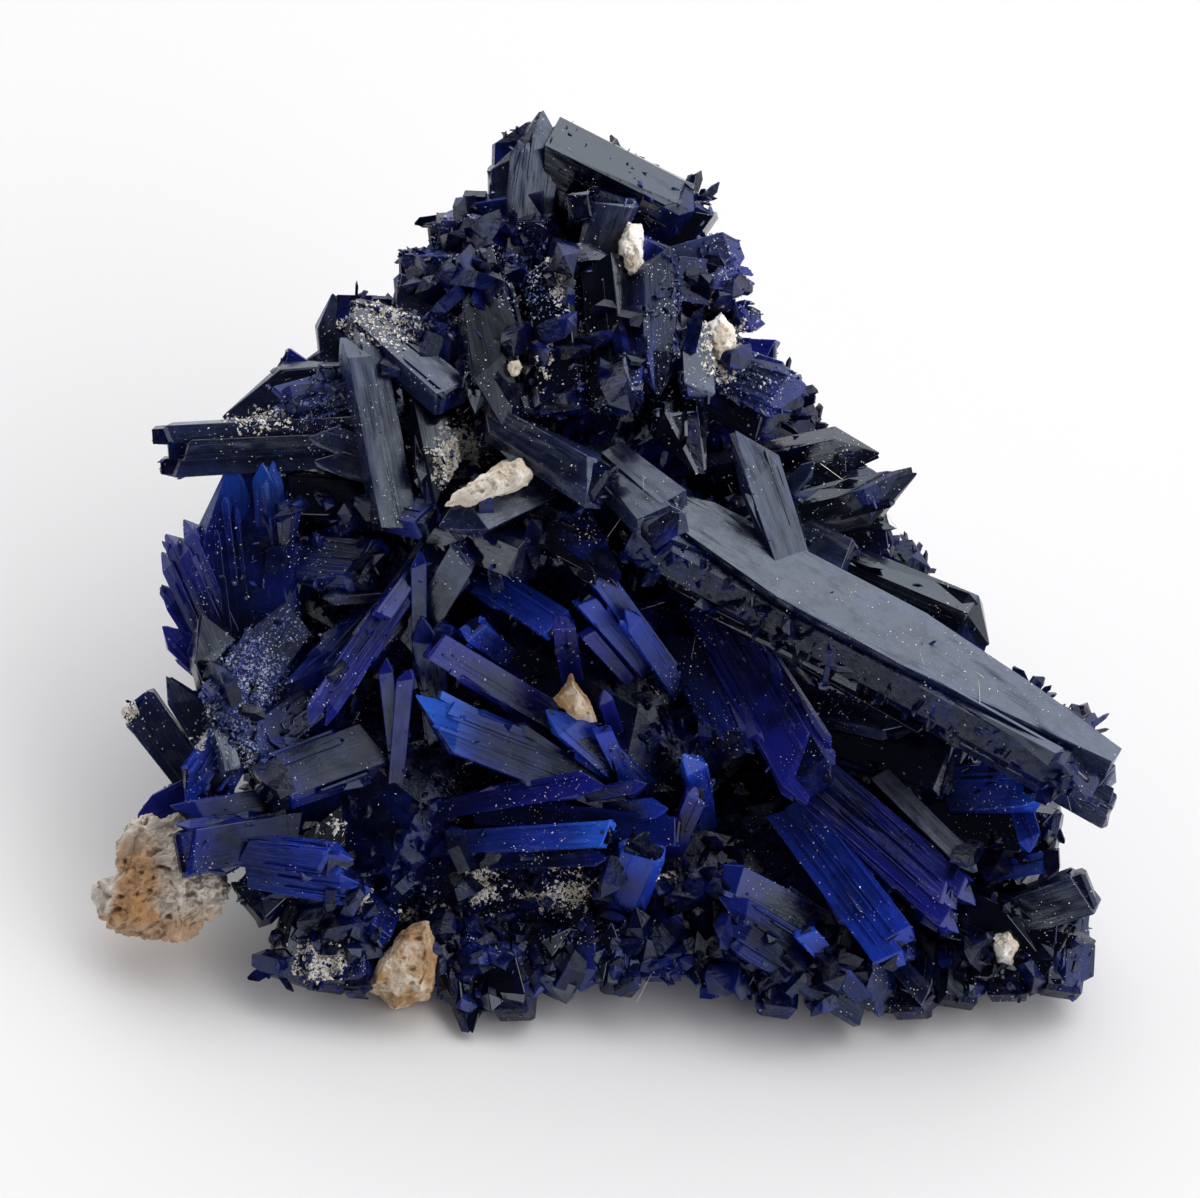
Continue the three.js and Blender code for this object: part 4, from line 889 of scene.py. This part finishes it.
def blade_corners(foot, tip, width, thickness, ways, end, chance):
    """Lists the corners of one blade, with small faults in its form."""
    along, out, left = ways
    bevelled = width >= BEVEL_FROM * MM
    bevel = min(EDGE_BEVEL * thickness, BEVEL_LIMIT * width) if bevelled else 0
    taper, lean, flat, thin = ENDS[end]
    shoulder = tip - along * min(taper * width, END_LIMIT * (tip - foot).length)
    corners = []

    def put(middle, aside, rise, slip=0.0):
        fault = left * chance.uniform(*FAULT_ASIDE) + along * chance.uniform(*FAULT_ALONG)
        raised = out * (rise * chance.uniform(*FAULT_RISE))
        corners.append(middle + left * aside + raised + fault * width - along * slip)

    if end == "lens":
        for share, half in LENS:
            for side in (-1, 1):
                put(foot.lerp(tip, share), side * width / 2 * half, thickness / 2)
                put(foot.lerp(tip, share), side * width / 2 * half, -thickness / 2)
        return corners
    slant = chance.choice((-1, 1)) * chance.uniform(*SLANT)
    for side in (-1, 1):
        narrow = chance.uniform(*NARROW_FOOT)
        slip = max(0.0, side * slant) * width
        for middle, wide in ((foot, narrow), (shoulder, 1.0)):
            put(middle, side * (width / 2 - bevel) * wide, thickness / 2, slip)
            put(middle, side * (width / 2 - bevel) * wide, -thickness / 2, slip)
            if bevelled:
                put(middle, side * width / 2 * wide, 0, slip)
        aside = (lean * (1 - flat) + side * flat) * width / 2
        step = chance.uniform(0, thickness * STEPPED_END)
        put(tip, aside, thin * thickness / 2, slip + step * (thin > 0))
        if thin > 0:
            put(tip, aside, -thin * thickness / 2, slip)
    return corners


def ridge_corners(foot, tip, width, thickness, ways, end, chance, relief):
    """Lists the corners of one low ridge that lies lengthways on a crystal's wide face."""
    along, out, left = ways
    length = (tip - foot).length
    taper = ENDS[end][0] * width / length
    aside = chance.uniform(*RIDGE_ASIDE)
    half = chance.uniform(*RIDGE_HALF_WIDTH)
    start = chance.uniform(*RIDGE_START)
    reach = 1 - taper * min(1, abs(aside) * 2 + 0.25)
    stop = min(start + chance.uniform(*RIDGE_LENGTH), reach * chance.uniform(*RIDGE_STOP))
    rise = thickness / 2 + chance.uniform(*RIDGE_RISE) * relief * min(thickness, RIDGE_THICKEST * MM)
    if abs(aside) > RIDGE_EDGE:
        half *= 0.6
    corners = []
    for place, narrowing in ((start, 0.5), (start + 0.04, 1.0), (stop - 0.03, 1.0), (stop, 0.35)):
        for side in (-1, 1):
            middle = foot + along * (length * place) + left * (width * (aside + side * half * narrowing))
            corners.append(middle + out * (thickness * RIDGE_ROOT))
            top = rise if narrowing == 1.0 else thickness * RIDGE_END_RISE
            corners.append(middle + out * top - left * (side * width * half * 0.3))
    return corners


def splinter(shell, shape, spans, finish, glow, shift):
    """Adds one thin lath that grew along a crystal and parts from it a little."""
    foot, tip, width, thickness, ways, _, chance = shape
    along, out, left = ways
    length = (tip - foot).length
    start = chance.uniform(*SPLINTER_START)
    stop = min(start + chance.uniform(*SPLINTER_LENGTH), SPLINTER_STOP)
    side = chance.choice((-1, 1))
    lath_foot = foot + along * (length * start) + left * (side * width * chance.uniform(*SPLINTER_FOOT_ASIDE))
    lath_tip = foot + along * (length * stop) + left * (side * width * chance.uniform(*SPLINTER_TIP_ASIDE))
    lath_tip += out * (thickness * chance.uniform(*SPLINTER_LIFT))
    lath_ways = directions(lath_foot, lath_tip, chance.uniform(*SPLINTER_ROLL))
    lath_width = max(width * chance.uniform(*SPLINTER_WIDTH), SPLINTER_LEAST * MM)
    end = chance.choice(SPLINTER_ENDS)
    lath_thickness = lath_width * chance.uniform(*SPLINTER_THICKNESS)
    lath = (lath_foot, lath_tip, lath_width, lath_thickness, lath_ways, end, chance)
    shell.add(blade_corners(*lath), lath_ways, foot, spans, finish, glow, SPLINTER_BEVEL * MM, shift)


def grow(shell, foot, tip, width, thickness, roll, end, slices, finish, ridges, glow, chance):
    """Adds one crystal, sliced where it grew split, with ridges and splinters along it."""
    ways = directions(foot, tip, roll)
    along, out, left = ways
    number = FINISHES.index(finish)
    relief = RIDGE_RELIEF[finish]
    spans = ((tip - foot).length, width)
    splinters = round(SPLINTERS[finish] * spans[0] / MM) if width > SPLINTER_FROM * MM else 0
    swell = SKIN_OVER_SOLID * MM
    bevel = min(WORN_EDGE * MM, WORN_SHARE * thickness)
    slice_width = SLICE_OVERLAP * width / slices if slices > 1 else width
    for i in range(slices):
        aside = ((i + 0.5) / slices - 0.5) * width
        short = SLICE_STAGGER * width * ((i * STAGGER_STEP + STAGGER_START) % 1) if slices > 1 else 0
        rise = SLICE_RAISE * thickness * (i % 2) if slices > 1 else 0
        offset = left * aside + out * rise
        slice_tip = tip + offset - along * short
        shift = chance.uniform(0, 90)
        shape = (foot + offset, slice_tip, slice_width + swell, thickness + swell, ways, end, chance)
        shell.add(blade_corners(*shape), ways, foot, spans, number, glow, bevel, shift)
        for _ in range(ridges):
            ridge = ridge_corners(*shape, relief)
            shell.add(ridge, ways, foot, spans, number, glow, bevel * RIDGE_BEVEL, shift)
        for _ in range(splinters):
            splinter(shell, shape, spans, number, glow, shift)


def zone(name, rows, materials):
    """Builds the crystals of one zone of the display face."""
    shell = Shell()
    for number, (title, foot, tip, width, thickness, *habit) in enumerate(rows):
        chance = random.Random(SEED * 1000 + number + len(name))
        glow = GLOWING_TIPS.get(title, 0.0)
        grow(shell, on_face(foot), on_face(tip), width * MM, thickness * MM, *habit, glow, chance)
    return shell.build(name, materials)


def fringe(materials):
    """Builds the row of short crystals that hang over the bottom edge, and the lobes among them."""
    shell = Shell()
    thick = FRINGE_THICKNESS * MM
    for number, (u, v, width, end) in enumerate(FRINGE):
        chance = random.Random(SEED + number)
        foot = on_face((u + chance.uniform(*FRINGE_SHIFT), v + FRINGE_LENGTH, FRINGE_FOOT))
        tip = on_face((u, v, FRINGE_TIP))
        finish = chance.choice(FRINGE_FINISHES)
        end = "round" if end == "square" else end
        roll = chance.uniform(*FRINGE_ROLL)
        grow(shell, foot, tip, width * MM, thick, roll, end, 1, finish, FRINGE_RIDGES, 0.0, chance)
    chance = random.Random(SEED + LOBE_SEED)
    for _ in range(LOBES):
        u, v, _, _ = chance.choice(FRINGE)
        u += chance.uniform(*LOBE_ASIDE)
        v += chance.uniform(*LOBE_UP)
        w = chance.uniform(*LOBE_OUT)
        foot_u = u + chance.uniform(*LOBE_FOOT_ASIDE)
        foot = on_face((foot_u, v + chance.uniform(*LOBE_FOOT_UP), w - LOBE_DEPTH))
        width = chance.uniform(*LOBE_WIDTH) * MM
        finish = chance.choice(LOBE_FINISHES)
        roll = chance.uniform(*LOBE_ROLL)
        tip = on_face((u, v, w))
        grow(shell, foot, tip, width, width * LOBE_FLATNESS, roll, "round", 1, finish, 1, 0.0, chance)
    return shell.build("fringe_crystals", materials)


def copy_of(node, name):
    """Copies a solid's mesh into a new piece, with its corners merged."""
    mesh = frame["nodes"][node].data.copy()
    mesh.name = name
    mesh.materials.clear()
    work = bmesh.new()
    work.from_mesh(mesh)
    bmesh.ops.remove_doubles(work, verts=work.verts, dist=1e-7)
    bmesh.ops.dissolve_limit(work, angle_limit=0.01, verts=work.verts, edges=work.edges)
    work.to_mesh(mesh)
    work.free()
    return new_piece(name, mesh)


def applied(piece):
    """Turns a piece and its modifiers into a plain mesh."""
    graph = bpy.context.evaluated_depsgraph_get()
    mesh = bpy.data.meshes.new_from_object(piece.evaluated_get(graph))
    piece.modifiers.clear()
    old = piece.data
    piece.data = mesh
    bpy.data.meshes.remove(old)
    mesh.name = piece.name
    return piece


def rough_stone(piece, grain, depth):
    """Gives a piece of rock a fine, broken skin; grain is the size of its faces, depth that of its relief."""
    remesh = piece.modifiers.new("grain", "REMESH")
    remesh.mode = "VOXEL"
    remesh.voxel_size = grain * MM
    applied(piece)
    mesh = piece.data
    moves = []
    for vertex in mesh.vertices:
        place = vertex.co / MM
        broken = noise.fractal(place * BREAKS_PER_MM, 0.8, 2.1, 6)
        pits = max(0.0, noise.noise(place * PITS_PER_MM) - PIT_FROM)
        relief = broken * BREAK_DEPTH - SKIN_SINK - pits * PIT_DEPTH
        moves.append(vertex.normal * (relief * depth * MM))
    for vertex, move in zip(mesh.vertices, moves):
        vertex.co += move
    mesh.update()
    return piece


def azurite_mass(material):
    """Makes the mass behind the crystals, a little smaller than its solid so that they stand out of it."""
    piece = copy_of("azurite_crystals", "azurite_mass")
    work = bmesh.new()
    work.from_mesh(piece.data)
    work.normal_update()
    moves = [vertex.normal * (-MASS_SHRINK * MM) for vertex in work.verts]
    for vertex, move in zip(work.verts, moves):
        vertex.co += move
    work.to_mesh(piece.data)
    work.free()
    piece.data.materials.append(material)
    return piece


def joined(pieces):
    """Joins the meshes of several pieces in one working mesh."""
    work = bmesh.new()
    for piece in pieces:
        work.from_mesh(piece.data)
    bmesh.ops.triangulate(work, faces=work.faces)
    return work


def search_tree(pieces):
    """Makes a tree to find the nearest faces of several pieces in."""
    work = joined(pieces)
    faces = BVHTree.FromBMesh(work)
    work.free()
    return faces


def exposed_skin(name, pieces, everything, how_dense, apart_from=()):
    """Copies the faces of some pieces that no other covers, cut small, with a density to grow things at."""
    inside = search_tree(everything)
    neighbours = search_tree(apart_from)
    work = joined(pieces)
    for _ in range(SKIN_CUTS):
        long_edges = [edge for edge in work.edges if edge.calc_length() > SKIN_FACE * MM]
        bmesh.ops.subdivide_edges(work, edges=long_edges, cuts=1)
        bmesh.ops.triangulate(work, faces=work.faces)
    work.normal_update()
    work.faces.layers.float.new("density")
    covered = []
    for face in work.faces:
        start = face.calc_center_median() + face.normal * (SKIN_LIFT * MM)
        _, hit_normal, _, _ = inside.ray_cast(start, face.normal)
        close = apart_from and neighbours.find_nearest(start, APART * MM)[0] is not None
        if close or hit_normal is not None and hit_normal.dot(face.normal) > 0:
            covered.append(face)
    bmesh.ops.delete(work, geom=covered, context="FACES")
    mesh = bpy.data.meshes.new(name)
    work.to_mesh(mesh)
    work.free()
    skin = new_piece(name, mesh)
    repaint(skin, how_dense)
    return skin


def repaint(skin, how_dense):
    """Sets the density on each face of a skin."""
    values = []
    for face in skin.data.polygons:
        values.append(how_dense(to_face(face.center), face.normal, FINISHES[face.material_index]))
    skin.data.attributes["density"].data.foreach_set("value", values)


def scatter_tree():
    """Builds the node tree that grows small shapes on a skin."""
    group = bpy.data.node_groups.new("scatter", "GeometryNodeTree")
    kinds = {
        "Skin": "NodeSocketGeometry",
        "Density": "NodeSocketFloat",
        "Smallest": "NodeSocketFloat",
        "Largest": "NodeSocketFloat",
        "Tilt": "NodeSocketFloat",
        "Seed": "NodeSocketInt",
        "Shapes": "NodeSocketCollection",
        "Material": "NodeSocketMaterial",
    }
    for name, kind in kinds.items():
        group.interface.new_socket(name, in_out="INPUT", socket_type=kind)
    group.interface.new_socket("Growth", in_out="OUTPUT", socket_type="NodeSocketGeometry")
    tree = Tree(group)
    source = group.nodes.new("NodeGroupInput")
    given = {name: Wire(tree, source.outputs[name]) for name in kinds}
    painted = tree.add("GeometryNodeInputNamedAttribute", {"data_type": "FLOAT"}, {"Name": "density"})
    spread = tree.add("GeometryNodeDistributePointsOnFaces", None,
                      {"Mesh": given["Skin"], "Density": painted * given["Density"], "Seed": given["Seed"]})
    upright = Wire(tree, spread.socket.node.outputs["Rotation"])

    def drawn(low, high, step):
        sockets = {"Min_001": low, "Max_001": high, "Seed": given["Seed"] + step}
        return tree.add("FunctionNodeRandomValue", {"data_type": "FLOAT"}, sockets, "Value_001")

    lean = drawn(0.0 - given["Tilt"], given["Tilt"], 1)
    nod = drawn(0.0 - given["Tilt"], given["Tilt"], 2)
    turn = tree.add("ShaderNodeCombineXYZ", None, {"X": lean, "Y": nod, "Z": drawn(0.0, 2 * math.pi, 3)})
    turned = tree.add("FunctionNodeRotateRotation", {"rotation_space": "LOCAL"},
                      {"Rotation": upright, "Rotate By": turn})
    luck = drawn(0.0, 1.0, 4)
    size = given["Smallest"] + (given["Largest"] - given["Smallest"]) * luck * luck
    shapes = tree.add("GeometryNodeCollectionInfo", None,
                      {"Collection": given["Shapes"], "Separate Children": True, "Reset Children": True})
    instances = {
        "Points": spread,
        "Instance": shapes,
        "Pick Instance": True,
        "Rotation": turned,
        "Scale": size,
    }
    grown = tree.add("GeometryNodeInstanceOnPoints", None, instances)
    real = tree.add("GeometryNodeRealizeInstances", None, {"Geometry": grown})
    coated = tree.add("GeometryNodeSetMaterial", None, {"Geometry": real, "Material": given["Material"]})
    end = group.nodes.new("NodeGroupOutput")
    tree.set(end.inputs["Growth"], coated)
    return group


def scatter(name, skin, group, shapes, material):
    """Grows small shapes on a skin, by their row of the table, and gives them as one plain piece."""
    density, smallest, largest, tilt, seed = STREWN[name]
    piece = new_piece(name, skin.data.copy())
    modifier = piece.modifiers.new("scatter", "NODES")
    modifier.node_group = group
    values = {
        "Density": density / MM ** 2,
        "Smallest": smallest * MM,
        "Largest": largest * MM,
        "Tilt": math.radians(tilt),
        "Seed": seed,
        "Shapes": shapes,
        "Material": material,
    }
    for item in group.interface.items_tree:
        if item.in_out == "INPUT" and item.name in values:
            modifier[item.identifier] = values[item.name]
    return applied(piece)


def small_shapes(name, seeds):
    """Makes a collection of small shapes, one unit long, that stand on the origin."""
    collection = bpy.data.collections.new(name)
    bpy.context.scene.collection.children.link(collection)
    for number, corners in enumerate(seeds):
        work = hull(corners)
        bmesh.ops.recalc_face_normals(work, faces=work.faces)
        mesh = bpy.data.meshes.new(f"{name}_{number}")
        work.to_mesh(mesh)
        work.free()
        collection.objects.link(bpy.data.objects.new(mesh.name, mesh))
    return collection


def blade_seeds():
    """Lists the corners of a few small blades and tablets."""
    chance = random.Random(SEED + 5)
    seeds = []
    for width, thickness, lean in ((0.34, 0.16, 0.5), (0.5, 0.2, -0.4), (0.28, 0.22, 0.1), (0.7, 0.3, -0.7)):
        corners = []
        for side in (-1, 1):
            for rise in (-0.25, chance.uniform(0.55, 0.8)):
                corners.append((side * width / 2, thickness / 2, rise))
                corners.append((side * width / 2, -thickness / 2, rise))
            corners.append((width * (0.4 * lean + side * 0.12), thickness * 0.15 * side, 1.0))
        seeds.append(corners)
    return seeds


def box_corners(width, thickness, low, high):
    """Lists the corners of a box that stands on the origin."""
    return [(x * width / 2, y * thickness / 2, z) for x in (-1, 1) for y in (-1, 1) for z in (low, high)]


def tablet_seeds():
    """Lists the corners of a few stout tablets with slanting ends."""
    chance = random.Random(SEED + 8)
    seeds = []
    for width, thickness in ((0.9, 0.5), (1.2, 0.45), (0.7, 0.6), (1.0, 0.8)):
        corners = box_corners(width, thickness, -0.6, 0.35)
        for x, y in ((-1, -1), (-1, 1), (1, -1), (1, 1)):
            shrink = chance.uniform(0.4, 0.85)
            corners.append((x * width / 2 * shrink, y * thickness / 2 * shrink, chance.uniform(0.55, 1.0)))
        seeds.append(corners)
    return seeds


def grain_seeds():
    """Lists the corners of a few rough grains."""
    chance = random.Random(SEED + 6)
    seeds = []
    for _ in range(4):
        corners = []
        for axis in range(3):
            for side in (-1, 1):
                corner = Vector([chance.gauss(0, 0.35) for _ in range(3)])
                corner[axis] += side
                corners.append(corner * 0.45)
        seeds.append(corners)
    return seeds


def thread_seeds():
    """Lists the corners of two straight fibres."""
    return [box_corners(0.012, 0.012, -0.1, 1.0), box_corners(0.02, 0.008, -0.1, 1.0)]


def clear(collection):
    """Removes a collection of small shapes once they have been used."""
    for item in list(collection.objects):
        bpy.data.objects.remove(item)
    bpy.data.collections.remove(collection)


def make_camera():
    """Looks straight at the display face, as wide as the specimen's picture."""
    data = bpy.data.cameras.new("camera")
    data.sensor_width = SENSOR_WIDTH
    data.lens = SENSOR_WIDTH * CAMERA_DISTANCE / FRAME_WIDTH
    data.clip_end = CAMERA_REACH
    camera = new_piece("camera", data)
    camera.location = on_face((0, 0, 0)) + FACE_OUT * CAMERA_DISTANCE
    camera.rotation_euler = FACE_OUT.to_track_quat("Z", "Y").to_euler()
    bpy.context.scene.camera = camera


def make_floor(material):
    """Lays the pale floor under the specimen."""
    mesh = bpy.data.meshes.new("floor")
    sides = [(-1, -1), (1, -1), (1, 1), (-1, 1)]
    mesh.from_pydata([(x * FLOOR_HALF, y * FLOOR_HALF, 0) for x, y in sides], [], [(0, 1, 2, 3)])
    mesh.materials.append(material)
    floor = new_piece("floor", mesh)
    floor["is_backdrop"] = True


def soft_light():
    """Hangs a soft square light that shines on the specimen."""
    data = bpy.data.lights.new("soft_light", "AREA")
    data.size = LIGHT_SIZE
    data.energy = LIGHT_POWER
    data.color = LIGHT_COLOUR
    light = new_piece("soft_light", data)
    light.location = LIGHT_PLACE
    light.rotation_euler = (LIGHT_PLACE - LIGHT_TARGET).to_track_quat("Z", "Y").to_euler()


def make_lights():
    """Lights the scene: white all round but dark in front, and a soft light above at the back right."""
    world = bpy.data.worlds.new("studio")
    bpy.context.scene.world = world
    world.use_nodes = True
    tree = Tree(world.node_tree)
    way = tree.add("ShaderNodeTexCoord", None, None, "Generated")
    facing = tree.measure("DOT_PRODUCT", way, DARK_SIDE)
    height = tree.add("ShaderNodeSeparateXYZ", None, {0: way}, 2)
    shade = tree.band(facing, *DARK_EDGE) * tree.band(height, *DARK_RISE)
    background = world.node_tree.nodes["Background"]
    tree.set(background.inputs["Color"], tree.mix(shade, SKY_WHITE, SKY_DARK))
    background.inputs["Strength"].default_value = SKY_STRENGTH
    soft_light()


def on_foot(place):
    """Tells whether a place is on the bare foot of the specimen."""
    return on_face(place).z / MM < BARE_FOOT


def druse_density(place, normal, finish):
    """Grows small crystals all over the mass, but not on its foot."""
    return 0.0 if on_foot(place) else 1.0


def growth_density(place, normal, finish):
    """Grows small flat crystals in clumps."""
    if on_foot(place):
        return 0.0
    return SECOND_GROWTH[finish] * max(0.0, noise.fractal(place * GROWTH_CLUMPS, 1.0, 2.0, 3) + GROWTH_OVER)


def speck_density(place, normal, finish):
    """Lays dust in clumps on what faces outward."""
    outward = max(0.0, normal.dot(FACE_OUT) + DUST_FACING)
    clump = noise.fractal(place * DUST_CLUMPS + DUST_SHIFT, 1.0, 2.0, 3)
    return outward * max(LEAST_DUST, clump + DUST_OVER)


def in_patches(patches):
    """Gives a function for the density of what lies in patches on the face."""

    def how_dense(place, normal, finish):
        if on_foot(place):
            return 0.0
        ragged = PATCH_RAGGED * noise.noise(place * PATCH_CLUMPS)
        cover = 0.0
        for u, v, half_width, half_height, amount in patches:
            reach = math.hypot((place.x - u) / half_width, (place.y - v) / half_height) + ragged
            cover = max(cover, amount * min(1.0, max(0.0, PATCH_REACH - reach)))
        bare = SMOOTH_SHARE if finish == "slate" else 1.0
        return bare * cover * max(0.0, normal.dot(FACE_OUT) + PATCH_FACING)

    return how_dense


# The specimen in its setting
azurite_materials = [black_crystal(), slate_crystal(), indigo_crystal(), cobalt_crystal(), violet_crystal(),
                     dusty_crystal()]
make_camera()
make_floor(floor_material())
make_lights()

mass = azurite_mass(mass_material())
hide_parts("azurite_crystals")
crystal_zones = [
    zone("crown_crystals", CROWN, azurite_materials),
    zone("mound_crystals", MOUND, azurite_materials),
    zone("left_crystals", LEFT, azurite_materials),
    zone("centre_crystals", CENTRE, azurite_materials),
    zone("right_crystals", RIGHT, azurite_materials),
    fringe(azurite_materials),
]
everything = [mass, *crystal_zones]

# Small things that grew or fell on the crystals
growth = scatter_tree()
blades = small_shapes("blade_seed", blade_seeds())
grains = small_shapes("grain_seed", grain_seeds())
tablets = small_shapes("tablet_seed", tablet_seeds())
threads = small_shapes("thread_seed", thread_seeds())
mass_skin = exposed_skin("mass_skin", [mass], everything, druse_density, crystal_zones)
full_skin = exposed_skin("full_skin", everything, everything, growth_density)
druse = scatter("druse", mass_skin, growth, blades, mass_material())
second_growth = scatter("second_growth", full_skin, growth, blades, dusty_growth())
repaint(full_skin, speck_density)
specks = scatter("dust_specks", full_skin, growth, grains, crust_material())
fibres = scatter("fibres", full_skin, growth, threads, crust_material())
repaint(full_skin, in_patches(CRUSTS))
crust = scatter("pale_crust", full_skin, growth, grains, crust_material())
repaint(full_skin, in_patches(FROSTS))
frost = scatter("frost", full_skin, growth, grains, frost_material())
repaint(full_skin, in_patches(THICKETS))
thicket = scatter("thicket", full_skin, growth, tablets, mass_material())
for helper in (mass_skin, full_skin):
    bpy.data.objects.remove(helper)
for shapes in (blades, grains, tablets, threads):
    clear(shapes)

for piece in [*everything, druse, second_growth, frost, thicket]:
    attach(piece, "root")
for piece in (specks, crust, fibres):
    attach(piece, "root")

# Host rock
buff = buff_rock()
pale = white_rock()
tan = tan_rock()
for node in frame["nodes"]:
    if node.startswith("matrix"):
        lump = node == "matrix_lump"
        skin = LUMP_SKIN if lump else BIT_SKIN
        piece = rough_stone(copy_of(node, node + "_stone"), *skin)
        finish = buff if lump else tan if node in TAN_ROCKS else pale
        piece.data.materials.append(finish)
        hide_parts(node)
        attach(piece, "root")

bpy.context.scene.view_settings.view_transform = "Standard"
[[list(corner) for corner in box] for box in (solid_box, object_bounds())]
